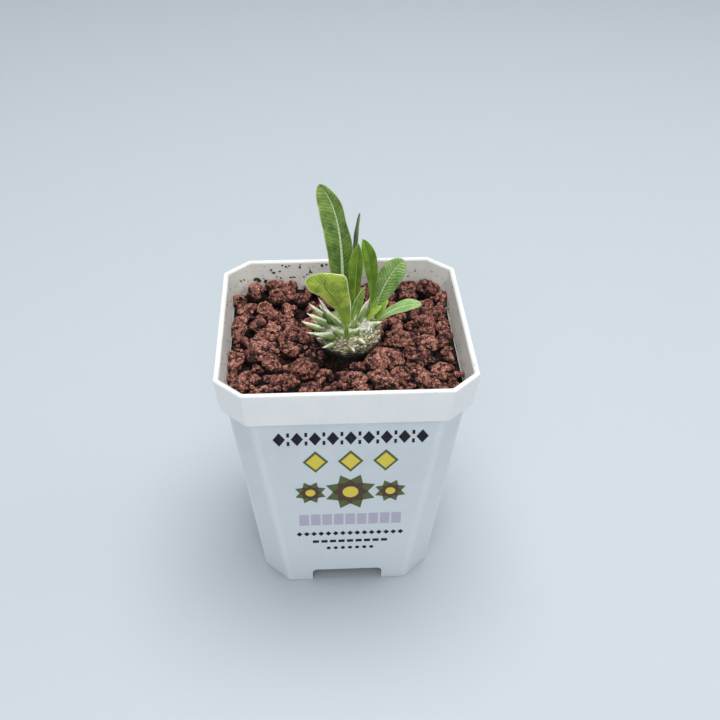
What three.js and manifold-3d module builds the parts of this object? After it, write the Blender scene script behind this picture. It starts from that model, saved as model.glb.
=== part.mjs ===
// A young Pachypodium brevicaule in a square nursery pot filled with red lava gravel.
// Millimetres, +Z up. The origin is the middle of the plane that the pot's feet stand on.
// The front of the pot faces -Y, and the plant's right is +X.

import * as THREE from "three";
import { mergeVertices } from "three/addons/utils/BufferGeometryUtils.js";
import Module from "manifold-3d";

const wasm = await Module();
wasm.setup();

// Driving dimensions of the pot: half widths across its flats, and the legs of its cut corners
const POT_HEIGHT = 78;
const RIM_HALF = 35;
const RIM_CORNER = 7.4;
const BAND_HEIGHT = 10.9;
const BAND_HALF = 33.7;
const BAND_CORNER = 7.1;
const BODY_TOP_HALF = 32;
const BODY_TOP_CORNER = 6.5;
const BASE_HALF = 24.6;
const BASE_CORNER = 7.2;
const CORNER_ROUNDING = 1.6;
const CORNER_STEPS = 2;
const RIM_WALL = 1.6;
const BODY_WALL = 1.3;
const RIM_SOFTENING = 0.4;
const LEDGE_THICKNESS = 1.4;
const LEDGE_SLOPE = 1.2;

// Driving dimensions of the pot's floor and feet
const FLOOR_UNDERSIDE = 5.5;
const FLOOR_THICKNESS = 1.5;
const FOOT_ARCH_HALF = 10.4;
const FOOT_ARCH_HEIGHT = 4.7;
const FOOT_ARCH_ROUNDING = 2.2;
const FOOT_ARCH_STEPS = 4;
const CENTRE_HOLE_RADIUS = 3.5;
const OUTER_HOLE_RADIUS = 2.8;
const OUTER_HOLE_OFFSET = 13;
const HOLE_SIDES = 16;

// How far a cutting body runs past the face that it cuts through
const CUT_PAST = 1;

// Driving dimensions of the gravel
const FIT_GAP = 0.3;
const BED_TOP = 66.9;
const STONE_CEILING = 74;
const STONE_EDGE = 30.9;
const STONE_CORNER = 56;
const BANK_WIDTH = 3.2;
const STEM_RING = 8.4;
const BACK_RISE = 1.4;
const HEIGHT_SHAKE = 1.6;
const STONE_RUGGEDNESS = 0.2;
const STONE_WIDENING = 1.08;
const STONE_FLATTENING = 0.94;
const STONE_SEED = 4207;

// Radii above which a stone gets a finer lump, and below which a plainer one, made this much larger
const LARGE_STONE = 3.4;
const SMALL_STONE = 1.95;
const SMALL_STONE_GROWTH = 1.15;

// The hollow that the stones leave in front of the stem: its middle, half sizes, and the ring
// round its middle where no stone is sown
const HOLLOW_MIDDLE = [-1.8, -8.2, 68];
const HOLLOW_HALF_SIZES = [4.6, 3.6, 3.6];
const HOLLOW_RING = 5.4;
const HOLLOW_DETAIL = 3;

// Two sowings on a shaken grid fill the room that the hand-set stones leave: the grid's pitch
// and cells to each side, the stones' least radius and its spread, the height of their middles,
// and how near two stones may come, as a share of their radii
const SOWING_SHAKE = 0.4;
const SOWINGS = [
  { pitch: 5, cells: 6, least: 2.1, spread: 1, height: 68.1, crowding: 0.66 },
  { pitch: 3.4, cells: 9, least: 1.3, spread: 0.6, height: 68.3, crowding: 0.86 },
];

// Driving dimensions of the swollen stem, the caudex
const CAUDEX_X = 1.5;
const CAUDEX_Y = 0.5;
const CAUDEX_SIDES = 24;
const LOBE_SHARE = 0.035;
const LOBE_TURN = 0.7;
const RIDGE_SHARE = 0.018;
const RIDGES = 8;

// Radius and height up the caudex, from the tip of its taproot to its crown
const CAUDEX_PROFILE = [
  [0.7, 48],
  [2.4, 54],
  [4.2, 61],
  [5.6, 66],
  [7.0, 68.6],
  [8.6, 70.8],
  [9.2, 72.8],
  [8.8, 74.8],
  [7.4, 76.4],
  [5.0, 77.5],
  [2.4, 78.1],
];

// The caudex's top rings, which a gap all round it lifts as well
const CROWN_RINGS = 4;

// Driving dimensions of the leaves. Their stations crowd together towards the tip.
const BLADE_THICKNESS = 0.62;
const MIDRIB_DEPTH = 0.35;
const LEAF_STATIONS = 11;
const STATION_CROWDING = 1.4;
const LEAF_ACROSS = [-1, -0.6, -0.16, 0, 0.16, 0.6, 1];
const LEAST_HALF_WIDTH = 0.2;

// A spine's shape: share of its length, and radius as a share of its swelling's
const SPINE_SHAPE = [[0, 1], [0.3, 0.78], [0.6, 0.5], [0.85, 0.22], [1, 0]];
const SPINE_SIDES = 5;
const SPINE_TIP = 0.09;

// Each leaf's midrib runs on a cubic curve through path's ends. face is the way its upper side
// looks, fold lifts both halves out of flat, skew gives one half more of the width towards the
// tip, and widest is where along the leaf it is widest. fullness squares off the outline, and
// stalk is the share of the width that is left at the base.
const LEAVES = [
  {
    name: "leaf_tall_back",
    path: [[0.3, 3.8, 76.6], [-0.2, 4.6, 90], [1.3, 8, 108], [-6, 10.5, 114.6]],
    width: 7.3, widest: 0.6, fullness: 0.44, stalk: 0.3,
    face: [0, -0.9, 0.3], fold: 12, skew: 0.34,
    color: 0x5d8a3c,
  },
  {
    name: "leaf_front_left",
    path: [[0, -1.4, 76.6], [0.2, -3.2, 86], [-5, -8, 93], [-5.4, -7, 97.3]],
    width: 12, widest: 0.78, fullness: 0.62, stalk: 0.18,
    face: [0.1, 0.95, 0.3], fold: 12, skew: -0.13,
    color: 0x8fae3a,
  },
  {
    name: "leaf_centre",
    path: [[3.2, 2, 76.6], [3.1, 2.2, 86], [4, 2.6, 94], [4.4, 3, 100.3]],
    width: 4.4, widest: 0.66, fullness: 0.85, stalk: 0.36,
    face: [-0.1, -0.95, 0.3], fold: 25, skew: 0.15,
    color: 0x5f8f2f,
  },
  {
    name: "leaf_arched",
    path: [[7.9, 3.4, 75.4], [9.2, 4.1, 86], [8.4, 4.8, 94], [5.8, 5, 100.5]],
    width: 4.4, widest: 0.68, fullness: 0.62, stalk: 0.3,
    face: [0.3, -0.85, 0.4], fold: 15, skew: 0,
    color: 0x5c9428,
  },
  {
    name: "leaf_broad_right",
    path: [[8.6, 5.2, 74.8], [10.6, 5.9, 82.5], [13.2, 7, 88.8], [17.5, 8, 92.2]],
    width: 7.1, widest: 0.66, fullness: 0.55, stalk: 0.25,
    face: [-0.3, -0.8, 0.5], fold: 12, skew: -0.08,
    color: 0x6f9b57,
  },
  {
    name: "leaf_low_right",
    path: [[9.2, 2.6, 74.8], [12.4, 2.5, 79.2], [18, 1.8, 82], [22.2, 1, 81.8]],
    width: 4.3, widest: 0.66, fullness: 0.6, stalk: 0.3,
    face: [0, -0.3, 0.95], fold: 10, skew: 0,
    color: 0x86b46c,
  },
  {
    name: "leaf_narrow_back",
    path: [[3.2, 5.2, 76], [3.1, 5.8, 88], [3.2, 7, 98], [4.6, 8, 107]],
    width: 3.4, widest: 0.5, fullness: 0.7, stalk: 0.3,
    face: [-0.9, -0.3, 0], fold: 10, skew: 0,
    color: 0x4d6f38,
  },
  {
    name: "leaf_young_right",
    path: [[9, 0.6, 74.6], [10.1, 0.8, 78.6], [11.3, 1.3, 81.1], [12.5, 1.9, 83]],
    width: 2.2, widest: 0.6, fullness: 0.7, stalk: 0.4,
    face: [-0.6, -0.5, 0.6], fold: 32, skew: 0,
    color: 0x7fae35,
  },
  {
    name: "leaf_young_centre",
    path: [[2.9, -0.5, 77], [3.3, -0.1, 81.5], [4.6, 0.4, 84.7], [6.3, 0.6, 88]],
    width: 3, widest: 0.4, fullness: 0.8, stalk: 0.5,
    face: [0.3, -0.9, 0.3], fold: 28, skew: 0,
    color: 0x6f9a3a,
  },
  {
    name: "leaf_tiny_front",
    path: [[0.7, -7, 75], [0.7, -7.7, 77.6], [0.7, -7.5, 79.3], [0.6, -7.1, 80.8]],
    width: 1.2, widest: 0.5, fullness: 0.8, stalk: 0.55,
    face: [0, -0.9, 0.3], fold: 0, skew: 0,
    color: 0x3f6b2a,
  },
];

// Spines that show from the front: foot, tip, and radius of the swelling that carries the spine
const SPINES = [
  { foot: [-2.8, 0.1, 76.8], tip: [-6.8, 0.2, 85.2], swell: 1.35 },
  { foot: [-3.2, 1.9, 76.2], tip: [-6.3, 2.1, 81.8], swell: 1.3 },
  { foot: [-4.2, 2.4, 76], tip: [-9.4, 3, 81.6], swell: 1.5 },
  { foot: [-4.6, 0.6, 76], tip: [-10.2, 0.8, 79.8], swell: 1.5 },
  { foot: [-6.2, -0.6, 75], tip: [-11.7, -0.8, 78.2], swell: 1.4 },
  { foot: [-6.4, -3.2, 74.8], tip: [-10.4, -4.6, 76.9], swell: 1 },
  { foot: [-2.6, -4.9, 75.6], tip: [-8.4, -6.8, 77.7], swell: 1.7 },
  { foot: [-0.9, -4.9, 75.9], tip: [-3.6, -5.6, 79.3], swell: 1.3 },
  { foot: [2, -5, 76.2], tip: [4.6, -6.2, 79.1], swell: 1.4 },
  { foot: [2.6, -3.1, 76.8], tip: [3.6, -3.4, 81.7], swell: 1.15 },
  { foot: [6.4, -0.4, 75.8], tip: [11.1, -0.8, 77.4], swell: 1.5 },
  { foot: [5.7, -2, 76], tip: [6.3, -2.6, 79.9], swell: 1.8 },
  { foot: [-3, -6.2, 73.6], tip: [-6.2, -8.4, 74.2], swell: 1 },
  { foot: [1.7, -7.6, 73.4], tip: [2.9, -10.2, 73.9], swell: 0.9 },
  { foot: [4.3, -6.4, 74.8], tip: [5.9, -8.8, 75.6], swell: 1.1 },
  { foot: [4.2, -4, 76], tip: [6.4, -5.2, 78.3], swell: 1.2 },
  { foot: [-4.4, -4.4, 75], tip: [-7.6, -6.2, 75.8], swell: 1.1 },
  { foot: [5, 0.4, 76.6], tip: [7.5, -0.3, 85.2], swell: 1.6 },
];

// Spines by rule on the side that is hidden from the front: they stand in a fan round the crown,
// in two tiers by turns, with each tier's foot radius, tip radius, foot height and rise to the tip
const BACK_SPINES = 9;
const BACK_SPINE_START = 56;
const BACK_SPINE_STEP = 14;
const BACK_TIERS = [
  { footRadius: 5.6, tipRadius: 10.6, height: 75, rise: 3.4, swell: 1.2 },
  { footRadius: 6.6, tipRadius: 11.2, height: 72.8, rise: 1.6, swell: 1 },
];

// The stones that show best: middle and radius
const STONES = [
  [-11.3, -13, 68.5, 3.6],
  [11.2, -8.8, 68.4, 4.3],
  [4.2, -10.6, 67.9, 2.3],
  [26.4, -13.1, 68.5, 3.9],
  [-15, -1.5, 68.5, 3.2],
  [-16.5, -18, 68.5, 3.2],
  [-22.4, 20, 68.8, 2.8],
  [-28.4, 20.8, 68.9, 2.9],
  [-25.5, 27.4, 70.4, 3],
  [-30.6, 25.2, 69.2, 2.3],
  [-19.3, 26.5, 69.2, 2.6],
  [-11.6, 26, 68.7, 2.4],
  [27, 27.6, 70.6, 3.1],
  [30.6, 23.2, 69.2, 2.3],
  [23.6, 15, 68.5, 3.2],
  [17, 15.3, 68.5, 2.7],
  [28.6, 1, 68.5, 3],
  [15.8, 1.5, 68.5, 3.2],
  [-17.6, 4.3, 68.5, 2.8],
  [-29.1, 3.6, 68.5, 2.6],
  [-22.8, 5.6, 68.5, 2.4],
  [-19.9, -9.9, 68.5, 2.4],
  [-26.2, -14.6, 68.5, 2.7],
  [2.7, -17, 68.3, 3.1],
  [10.7, -18.2, 68.5, 2.8],
  [22.4, -18.4, 68.5, 2.9],
  [-28.4, -19.2, 68.5, 2.8],
  [22.8, -4.4, 68.5, 2.2],
  [29.6, 9, 68.5, 2.4],
  [-24.4, 11, 68.5, 2.4],
  [-29.4, 14.3, 68.5, 2.4],
  [-9.2, -1.8, 68.2, 1.9],
  [-5.6, -12.4, 68, 1.9],
  [29.2, 17.4, 68.5, 2.3],
];

// Colours and roughnesses
const POT_FINISH = { color: 0xe4e9eb, roughness: 0.4 };
const GRAVEL_FINISH = { color: 0x7a4238, roughness: 0.95 };
const CAUDEX_FINISH = { color: 0xa8a88a, roughness: 0.85 };
const LEAF_ROUGHNESS = 0.55;

// Numbers in 0..1 that come out alike on every run
function drawsFrom(seed) {
  const modulus = 2147483647;
  let state = seed;
  return () => {
    state = (state * 16807) % modulus;
    return state / modulus;
  };
}

function middleOf(ring) {
  const sum = [0, 0, 0];
  for (const point of ring) {
    for (let axis = 0; axis < 3; axis += 1) {
      sum[axis] += point[axis] / ring.length;
    }
  }
  return sum;
}

function geometryFrom(points, faces) {
  const geometry = new THREE.BufferGeometry();
  geometry.setAttribute("position", new THREE.Float32BufferAttribute(points.flat(), 3));
  geometry.setIndex(faces);
  return geometry;
}

// A closed skin over rings of equal count, counterclockwise seen from the last one's side
function loft(rings) {
  const count = rings[0].length;
  const points = rings.flat();
  const foot = points.length;
  const head = foot + 1;
  const lastRing = (rings.length - 1) * count;
  points.push(middleOf(rings[0]), middleOf(rings[rings.length - 1]));
  const faces = [];
  for (let i = 0; i < count; i += 1) {
    const next = (i + 1) % count;
    for (let start = 0; start < lastRing; start += count) {
      const a = start + i;
      const b = start + next;
      faces.push(a, b, b + count, a, b + count, a + count);
    }
    faces.push(foot, next, i, head, lastRing + i, lastRing + next);
  }
  return geometryFrom(points, faces);
}

function solidFrom(geometry) {
  const bare = geometry.clone();
  bare.deleteAttribute("normal");
  bare.deleteAttribute("uv");
  const merged = mergeVertices(bare);
  return new wasm.Manifold(new wasm.Mesh({
    numProp: 3,
    vertProperties: Float32Array.from(merged.attributes.position.array),
    triVerts: Uint32Array.from(merged.index.array),
  }));
}

function geometryOf(solid) {
  const mesh = solid.getMesh();
  const geometry = new THREE.BufferGeometry();
  geometry.setAttribute("position", new THREE.BufferAttribute(mesh.vertProperties, 3));
  geometry.setIndex(new THREE.BufferAttribute(mesh.triVerts, 1));
  geometry.computeVertexNormals();
  return geometry;
}

// The largest body of a solid: loose scraps and sealed hollows are dropped
function mainBody(solid) {
  const bodies = solid.decompose();
  return bodies.reduce((best, body) => (body.volume() > best.volume() ? body : best));
}

// A square with cut, slightly rounded corners, counterclockwise from above
function potRing(half, corner, height) {
  const flats = half - CORNER_ROUNDING;
  const cuts = (2 * half - corner) / Math.SQRT2 - CORNER_ROUNDING;
  const along = cuts * Math.SQRT2 - flats;
  const ring = [];
  for (let side = 0; side < 8; side += 1) {
    const quarter = Math.floor(side / 2) * (Math.PI / 2);
    const onFlat = side % 2 === 0;
    const x = onFlat ? flats : along;
    const y = onFlat ? along : flats;
    const start = (side * Math.PI) / 4;
    for (let step = 0; step <= CORNER_STEPS; step += 1) {
      const angle = start + (step * Math.PI) / 4 / CORNER_STEPS;
      ring.push([
        x * Math.cos(quarter) - y * Math.sin(quarter) + CORNER_ROUNDING * Math.cos(angle),
        x * Math.sin(quarter) + y * Math.cos(quarter) + CORNER_ROUNDING * Math.sin(angle),
        height,
      ]);
    }
  }
  return ring;
}

const bandBottom = POT_HEIGHT - BAND_HEIGHT;
const insetCorner = 2 - Math.SQRT2;

// The pot's outer ring at a height on the tapered body, moved in by a wall
function bodyRing(height, inset) {
  const share = height / bandBottom;
  const half = BASE_HALF + (BODY_TOP_HALF - BASE_HALF) * share;
  const corner = BASE_CORNER + (BODY_TOP_CORNER - BASE_CORNER) * share;
  return potRing(half - inset, corner - insetCorner * inset, height);
}

// The pot's outer ring at a height on the band below the rim, moved in by a wall
function bandRing(height, inset) {
  const share = (height - bandBottom) / BAND_HEIGHT;
  const half = BAND_HALF + (RIM_HALF - BAND_HALF) * share;
  const corner = BAND_CORNER + (RIM_CORNER - BAND_CORNER) * share;
  return potRing(half - inset, corner - insetCorner * inset, height);
}

const floorTop = FLOOR_UNDERSIDE + FLOOR_THICKNESS;
const ledgeTop = bandBottom + LEDGE_THICKNESS;
const ledgeFoot = ledgeTop - LEDGE_SLOPE;

// The space inside the pot, made smaller by a gap all round
function potInside(gap, top) {
  const foot = floorTop + gap;
  return loft([
    bodyRing(foot, BODY_WALL + gap),
    bodyRing(ledgeFoot, BODY_WALL + gap),
    bandRing(ledgeTop + gap, RIM_WALL + gap),
    bandRing(top, RIM_WALL + gap),
  ]);
}

function upright(radius, x, y, low, high, sides) {
  const ring = (height) => Array.from({ length: sides }, (_, i) => {
    const angle = (i * 2 * Math.PI) / sides;
    return [x + radius * Math.cos(angle), y + radius * Math.sin(angle), height];
  });
  return loft([ring(low), ring(high)]);
}

// The arched gap between two feet, running along Y under the whole pot
function footArch() {
  const low = -CUT_PAST;
  const reach = RIM_HALF;
  const turn = FOOT_ARCH_ROUNDING;
  const shoulder = FOOT_ARCH_HEIGHT - turn;
  const outline = new THREE.Shape();
  outline.moveTo(-FOOT_ARCH_HALF, low);
  outline.lineTo(FOOT_ARCH_HALF, low);
  outline.lineTo(FOOT_ARCH_HALF, shoulder);
  outline.absarc(FOOT_ARCH_HALF - turn, shoulder, turn, 0, Math.PI / 2, false);
  outline.absarc(turn - FOOT_ARCH_HALF, shoulder, turn, Math.PI / 2, Math.PI, false);
  outline.closePath();
  const arch = new THREE.ExtrudeGeometry(outline, {
    depth: 2 * reach,
    bevelEnabled: false,
    curveSegments: FOOT_ARCH_STEPS,
  });
  arch.translate(0, 0, -reach);
  arch.rotateX(Math.PI / 2);
  return arch;
}

function potSolid() {
  const shell = solidFrom(loft([
    bodyRing(0, 0),
    bodyRing(bandBottom, 0),
    bandRing(bandBottom, 0),
    bandRing(POT_HEIGHT - RIM_SOFTENING, 0),
    bandRing(POT_HEIGHT, RIM_SOFTENING),
  ]));
  const inside = solidFrom(loft([
    bodyRing(floorTop, BODY_WALL),
    bodyRing(ledgeFoot, BODY_WALL),
    bandRing(ledgeTop, RIM_WALL),
    bandRing(POT_HEIGHT - RIM_SOFTENING, RIM_WALL),
    bandRing(POT_HEIGHT + RIM_SOFTENING, RIM_WALL - 2 * RIM_SOFTENING),
  ]));
  const underside = solidFrom(loft([
    bodyRing(-CUT_PAST, BODY_WALL),
    bodyRing(FLOOR_UNDERSIDE, BODY_WALL),
  ]));
  const arch = footArch();
  const archAlongY = solidFrom(arch);
  const archAlongX = solidFrom(arch.clone().rotateZ(Math.PI / 2));
  const low = FLOOR_UNDERSIDE - CUT_PAST;
  const high = floorTop + CUT_PAST;
  const holes = [solidFrom(upright(CENTRE_HOLE_RADIUS, 0, 0, low, high, HOLE_SIDES))];
  for (const x of [-OUTER_HOLE_OFFSET, OUTER_HOLE_OFFSET]) {
    for (const y of [-OUTER_HOLE_OFFSET, OUTER_HOLE_OFFSET]) {
      holes.push(solidFrom(upright(OUTER_HOLE_RADIUS, x, y, low, high, HOLE_SIDES)));
    }
  }
  const cuts = [inside, underside, archAlongY, archAlongX, ...holes];
  return cuts.reduce((solid, cut) => solid.subtract(cut), shell);
}

// A ring of the caudex, a little lobed and ridged, made larger by a gap
function caudexRing(radius, height, grow) {
  const ring = [];
  for (let i = 0; i < CAUDEX_SIDES; i += 1) {
    const angle = (i * 2 * Math.PI) / CAUDEX_SIDES;
    const lobes = LOBE_SHARE * (Math.cos(2 * angle + LOBE_TURN) + Math.sin(3 * angle));
    const ridges = RIDGE_SHARE * Math.cos(RIDGES * angle + height);
    const reach = radius * (1 + lobes + ridges) + grow;
    ring.push([
      CAUDEX_X + reach * Math.cos(angle),
      CAUDEX_Y + reach * Math.sin(angle),
      height,
    ]);
  }
  return ring;
}

function caudexBody(grow) {
  const crownStart = CAUDEX_PROFILE.length - CROWN_RINGS;
  return solidFrom(loft(CAUDEX_PROFILE.map(([radius, height], index) => {
    const drop = index === 0 ? grow : 0;
    const lift = index >= crownStart ? grow : 0;
    return caudexRing(radius, height - drop + lift, grow);
  })));
}

// A spine on its swelling: wide at the foot, drawn in quickly, then a long sharp cone
function spineSolid({ foot, tip, swell }) {
  const from = new THREE.Vector3(...foot);
  const run = new THREE.Vector3(...tip).sub(from);
  const ahead = run.clone().normalize();
  const across = new THREE.Vector3(0, 0, 1).cross(ahead).normalize();
  const beside = ahead.clone().cross(across);
  return solidFrom(loft(SPINE_SHAPE.map(([share, wide]) => {
    const centre = from.clone().addScaledVector(run, share);
    const radius = Math.max(SPINE_TIP, swell * wide);
    return Array.from({ length: SPINE_SIDES }, (_, i) => {
      const angle = (i * 2 * Math.PI) / SPINE_SIDES;
      return centre.clone()
        .addScaledVector(across, radius * Math.cos(angle))
        .addScaledVector(beside, radius * Math.sin(angle))
        .toArray();
    });
  })));
}

function backSpines() {
  return Array.from({ length: BACK_SPINES }, (_, i) => {
    const angle = THREE.MathUtils.degToRad(BACK_SPINE_START + i * BACK_SPINE_STEP);
    const { footRadius, tipRadius, height, rise, swell } = BACK_TIERS[i % BACK_TIERS.length];
    const place = (radius, level) => [
      CAUDEX_X + radius * Math.cos(angle),
      CAUDEX_Y + radius * Math.sin(angle),
      level,
    ];
    return { foot: place(footRadius, height), tip: place(tipRadius, height + rise), swell };
  });
}

function caudexSolid() {
  const spines = [...SPINES, ...backSpines()].map(spineSolid);
  return mainBody(wasm.Manifold.union([caudexBody(0), ...spines]));
}

// Half of a leaf's width at a share of its length from the base
function halfWidth(leaf, share) {
  const stretch = Math.log(0.5) / Math.log(leaf.widest);
  const bell = Math.max(0, Math.sin(Math.PI * share ** stretch)) ** leaf.fullness;
  const stalk = leaf.stalk * (1 - share) * (1 - bell);
  return Math.max(LEAST_HALF_WIDTH, (leaf.width / 2) * (bell + stalk));
}

// One point of a leaf's skin: across runs from -1 at one margin to 1 at the other
function leafPoint(leaf, curve, share, across, depth) {
  const ahead = curve.getTangent(share);
  const up = new THREE.Vector3(...leaf.face);
  up.addScaledVector(ahead, -up.dot(ahead)).normalize();
  const aside = ahead.clone().cross(up);
  const fold = THREE.MathUtils.degToRad(leaf.fold);
  const lean = 1 - leaf.skew * share * Math.sign(across);
  const reach = halfWidth(leaf, share) * lean * across;
  return curve.getPoint(share)
    .addScaledVector(aside, reach * Math.cos(fold))
    .addScaledVector(up, Math.abs(reach) * Math.sin(fold) - depth)
    .toArray();
}

// A blade of even thickness with its midrib raised below: both faces have the same triangles
function leafSkin(leaf) {
  const curve = new THREE.CubicBezierCurve3(...leaf.path.map((p) => new THREE.Vector3(...p)));
  const thickness = BLADE_THICKNESS / Math.cos(THREE.MathUtils.degToRad(leaf.fold));
  const columns = LEAF_ACROSS.length;
  const points = [];
  for (const lower of [false, true]) {
    for (let row = 0; row <= LEAF_STATIONS; row += 1) {
      const share = 1 - (1 - row / LEAF_STATIONS) ** STATION_CROWDING;
      for (const across of LEAF_ACROSS) {
        const rib = across === 0 ? MIDRIB_DEPTH * (1 - share) : 0;
        const depth = lower ? thickness + rib : 0;
        points.push(leafPoint(leaf, curve, share, across, depth));
      }
    }
  }
  const sheet = (LEAF_STATIONS + 1) * columns;
  const faces = [];
  for (let row = 0; row < LEAF_STATIONS; row += 1) {
    for (let column = 0; column + 1 < columns; column += 1) {
      const a = row * columns + column;
      const b = a + 1;
      const c = a + columns;
      const d = c + 1;
      faces.push(a, b, d, a, d, c);
      faces.push(a + sheet, d + sheet, b + sheet, a + sheet, c + sheet, d + sheet);
    }
    for (const [edge, outer] of [[0, 1], [columns - 1, -1]]) {
      const a = row * columns + edge;
      const c = a + columns;
      const strip = [a, c, c + sheet, a, c + sheet, a + sheet];
      faces.push(...(outer > 0 ? strip : strip.reverse()));
    }
  }
  for (let column = 0; column + 1 < columns; column += 1) {
    const base = column;
    const tip = LEAF_STATIONS * columns + column;
    faces.push(base, base + sheet, base + 1 + sheet, base, base + 1 + sheet, base + 1);
    faces.push(tip, tip + 1, tip + 1 + sheet, tip, tip + 1 + sheet, tip + sheet);
  }
  return geometryFrom(points, faces);
}

function leafSolid(leaf, clearance) {
  return mainBody(solidFrom(leafSkin(leaf)).subtract(clearance));
}

// A rough, angular lump of lava
function stoneSolid(x, y, z, radius, draw) {
  const lump = radius < SMALL_STONE
    ? new THREE.OctahedronGeometry(radius * SMALL_STONE_GROWTH, 0)
    : new THREE.IcosahedronGeometry(radius, radius > LARGE_STONE ? 1 : 0);
  lump.deleteAttribute("normal");
  lump.deleteAttribute("uv");
  const rough = mergeVertices(lump);
  const corners = rough.attributes.position;
  for (let i = 0; i < corners.count; i += 1) {
    const push = 1 + STONE_RUGGEDNESS * (2 * draw() - 1);
    corners.setXYZ(i, corners.getX(i) * push, corners.getY(i) * push, corners.getZ(i) * push);
  }
  rough.rotateX(draw() * Math.PI);
  rough.rotateZ(draw() * Math.PI);
  rough.scale(STONE_WIDENING, STONE_WIDENING, STONE_FLATTENING);
  rough.translate(x, y, z);
  return solidFrom(rough);
}

// The stones that show best, and the sown ones between them
function stonePlaces(draw) {
  const stones = STONES.map(([x, y, z, radius]) => ({ x, y, z, radius }));
  for (const { pitch, cells, least, spread, height, crowding } of SOWINGS) {
    for (let row = -cells; row <= cells; row += 1) {
      for (let column = -cells; column <= cells; column += 1) {
        const x = (column + SOWING_SHAKE * (draw() - 0.5)) * pitch;
        const y = (row + SOWING_SHAKE * (draw() - 0.5)) * pitch;
        const radius = least + spread * draw();
        const rise = BACK_RISE * Math.max(0, y / STONE_EDGE) ** 3;
        const z = height + rise + HEIGHT_SHAKE * (draw() - 0.5);
        const inPot = Math.max(Math.abs(x), Math.abs(y)) < STONE_EDGE
          && Math.abs(x) + Math.abs(y) < STONE_CORNER;
        const offStem = Math.hypot(x - CAUDEX_X, y - CAUDEX_Y) > STEM_RING
          && Math.hypot(x - HOLLOW_MIDDLE[0], y - HOLLOW_MIDDLE[1]) > HOLLOW_RING;
        const free = stones.every((stone) => (
          Math.hypot(stone.x - x, stone.y - y) > crowding * (stone.radius + radius)
        ));
        if (inPot && offStem && free) {
          stones.push({ x, y, z, radius });
        }
      }
    }
  }
  return stones;
}

function gravelSolid(clearance) {
  const draw = drawsFrom(STONE_SEED);
  const bed = solidFrom(loft([
    bodyRing(floorTop + FIT_GAP, BODY_WALL + FIT_GAP),
    bodyRing(ledgeFoot, BODY_WALL + FIT_GAP),
    bandRing(ledgeTop + FIT_GAP, RIM_WALL + FIT_GAP),
    bandRing(BED_TOP, RIM_WALL + FIT_GAP + BANK_WIDTH),
  ]));
  const stones = stonePlaces(draw).map(({ x, y, z, radius }) => (
    stoneSolid(x, y, z, radius, draw)
  ));
  const heap = wasm.Manifold.union([bed, ...stones]);
  const room = solidFrom(potInside(FIT_GAP, STONE_CEILING));
  const ball = new THREE.IcosahedronGeometry(1, HOLLOW_DETAIL);
  const hollow = solidFrom(ball.scale(...HOLLOW_HALF_SIZES).translate(...HOLLOW_MIDDLE));
  return mainBody(heap.intersect(room).subtract(hollow).subtract(clearance));
}

function namedMesh(name, solid, { color, roughness }) {
  const material = new THREE.MeshStandardMaterial({ color, roughness, metalness: 0 });
  const mesh = new THREE.Mesh(geometryOf(solid), material);
  mesh.name = name;
  return mesh;
}

// The assembled plant
const clearance = caudexBody(FIT_GAP);
const plant = new THREE.Group();
plant.add(namedMesh("caudex", caudexSolid(), CAUDEX_FINISH));
for (const leaf of LEAVES) {
  const finish = { color: leaf.color, roughness: LEAF_ROUGHNESS };
  plant.add(namedMesh(leaf.name, leafSolid(leaf, clearance), finish));
}

const group = new THREE.Group();
group.add(namedMesh("pot", potSolid(), POT_FINISH));
group.add(namedMesh("lava_gravel", gravelSolid(clearance), GRAVEL_FINISH));
group.add(plant);

export default group;
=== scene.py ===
import itertools
import math

import bmesh
import bpy
import numpy as np
from mathutils import Matrix, Vector


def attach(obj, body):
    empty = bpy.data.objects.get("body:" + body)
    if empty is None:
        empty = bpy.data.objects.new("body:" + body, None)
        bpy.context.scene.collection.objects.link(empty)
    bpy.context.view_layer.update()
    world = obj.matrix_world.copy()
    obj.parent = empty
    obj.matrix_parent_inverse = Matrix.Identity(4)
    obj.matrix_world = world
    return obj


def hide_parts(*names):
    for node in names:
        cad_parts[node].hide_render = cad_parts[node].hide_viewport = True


# A young Pachypodium brevicaule in a square nursery pot of red lava gravel.
# Shapes are worked out in millimetres and made in metres. +Z is up and the pot's front faces -Y.

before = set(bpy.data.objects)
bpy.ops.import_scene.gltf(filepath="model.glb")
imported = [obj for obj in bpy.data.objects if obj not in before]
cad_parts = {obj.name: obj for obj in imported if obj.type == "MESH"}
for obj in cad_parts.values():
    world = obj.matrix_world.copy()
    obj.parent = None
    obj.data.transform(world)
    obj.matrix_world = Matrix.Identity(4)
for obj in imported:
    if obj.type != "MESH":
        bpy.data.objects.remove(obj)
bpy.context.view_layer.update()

MM = 0.001


# Numbers, noise and colours

def draws_from(seed):
    """Numbers in 0..1 that come out alike on every run."""
    modulus = 2147483647
    state = seed

    def draw():
        nonlocal state
        state = state * 16807 % modulus
        return state / modulus

    return draw


def hashed(cells, salt):
    """A number in 0..1 for each whole-numbered cell."""
    mixed = cells @ np.array([127.1, 311.7, 74.7]) + salt * 53.3
    return np.modf(np.abs(np.sin(mixed) * 43758.5453))[0]


def smooth_noise(points, salt=0):
    """Even noise in -1..1 with a grain of one unit."""
    cells = np.floor(points)
    share = points - cells
    blend = share * share * (3 - 2 * share)
    total = np.zeros(len(points))
    for corner in itertools.product((0, 1), repeat=3):
        weight = np.prod(np.where(corner, blend, 1 - blend), axis=1)
        total += weight * hashed(cells + corner, salt)
    return 2 * total - 1


def rough_noise(points, octaves, salt=0):
    total = np.zeros(len(points))
    for octave in range(octaves):
        total += smooth_noise(points * 2 ** octave, salt + octave) / 2 ** octave
    return total


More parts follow.
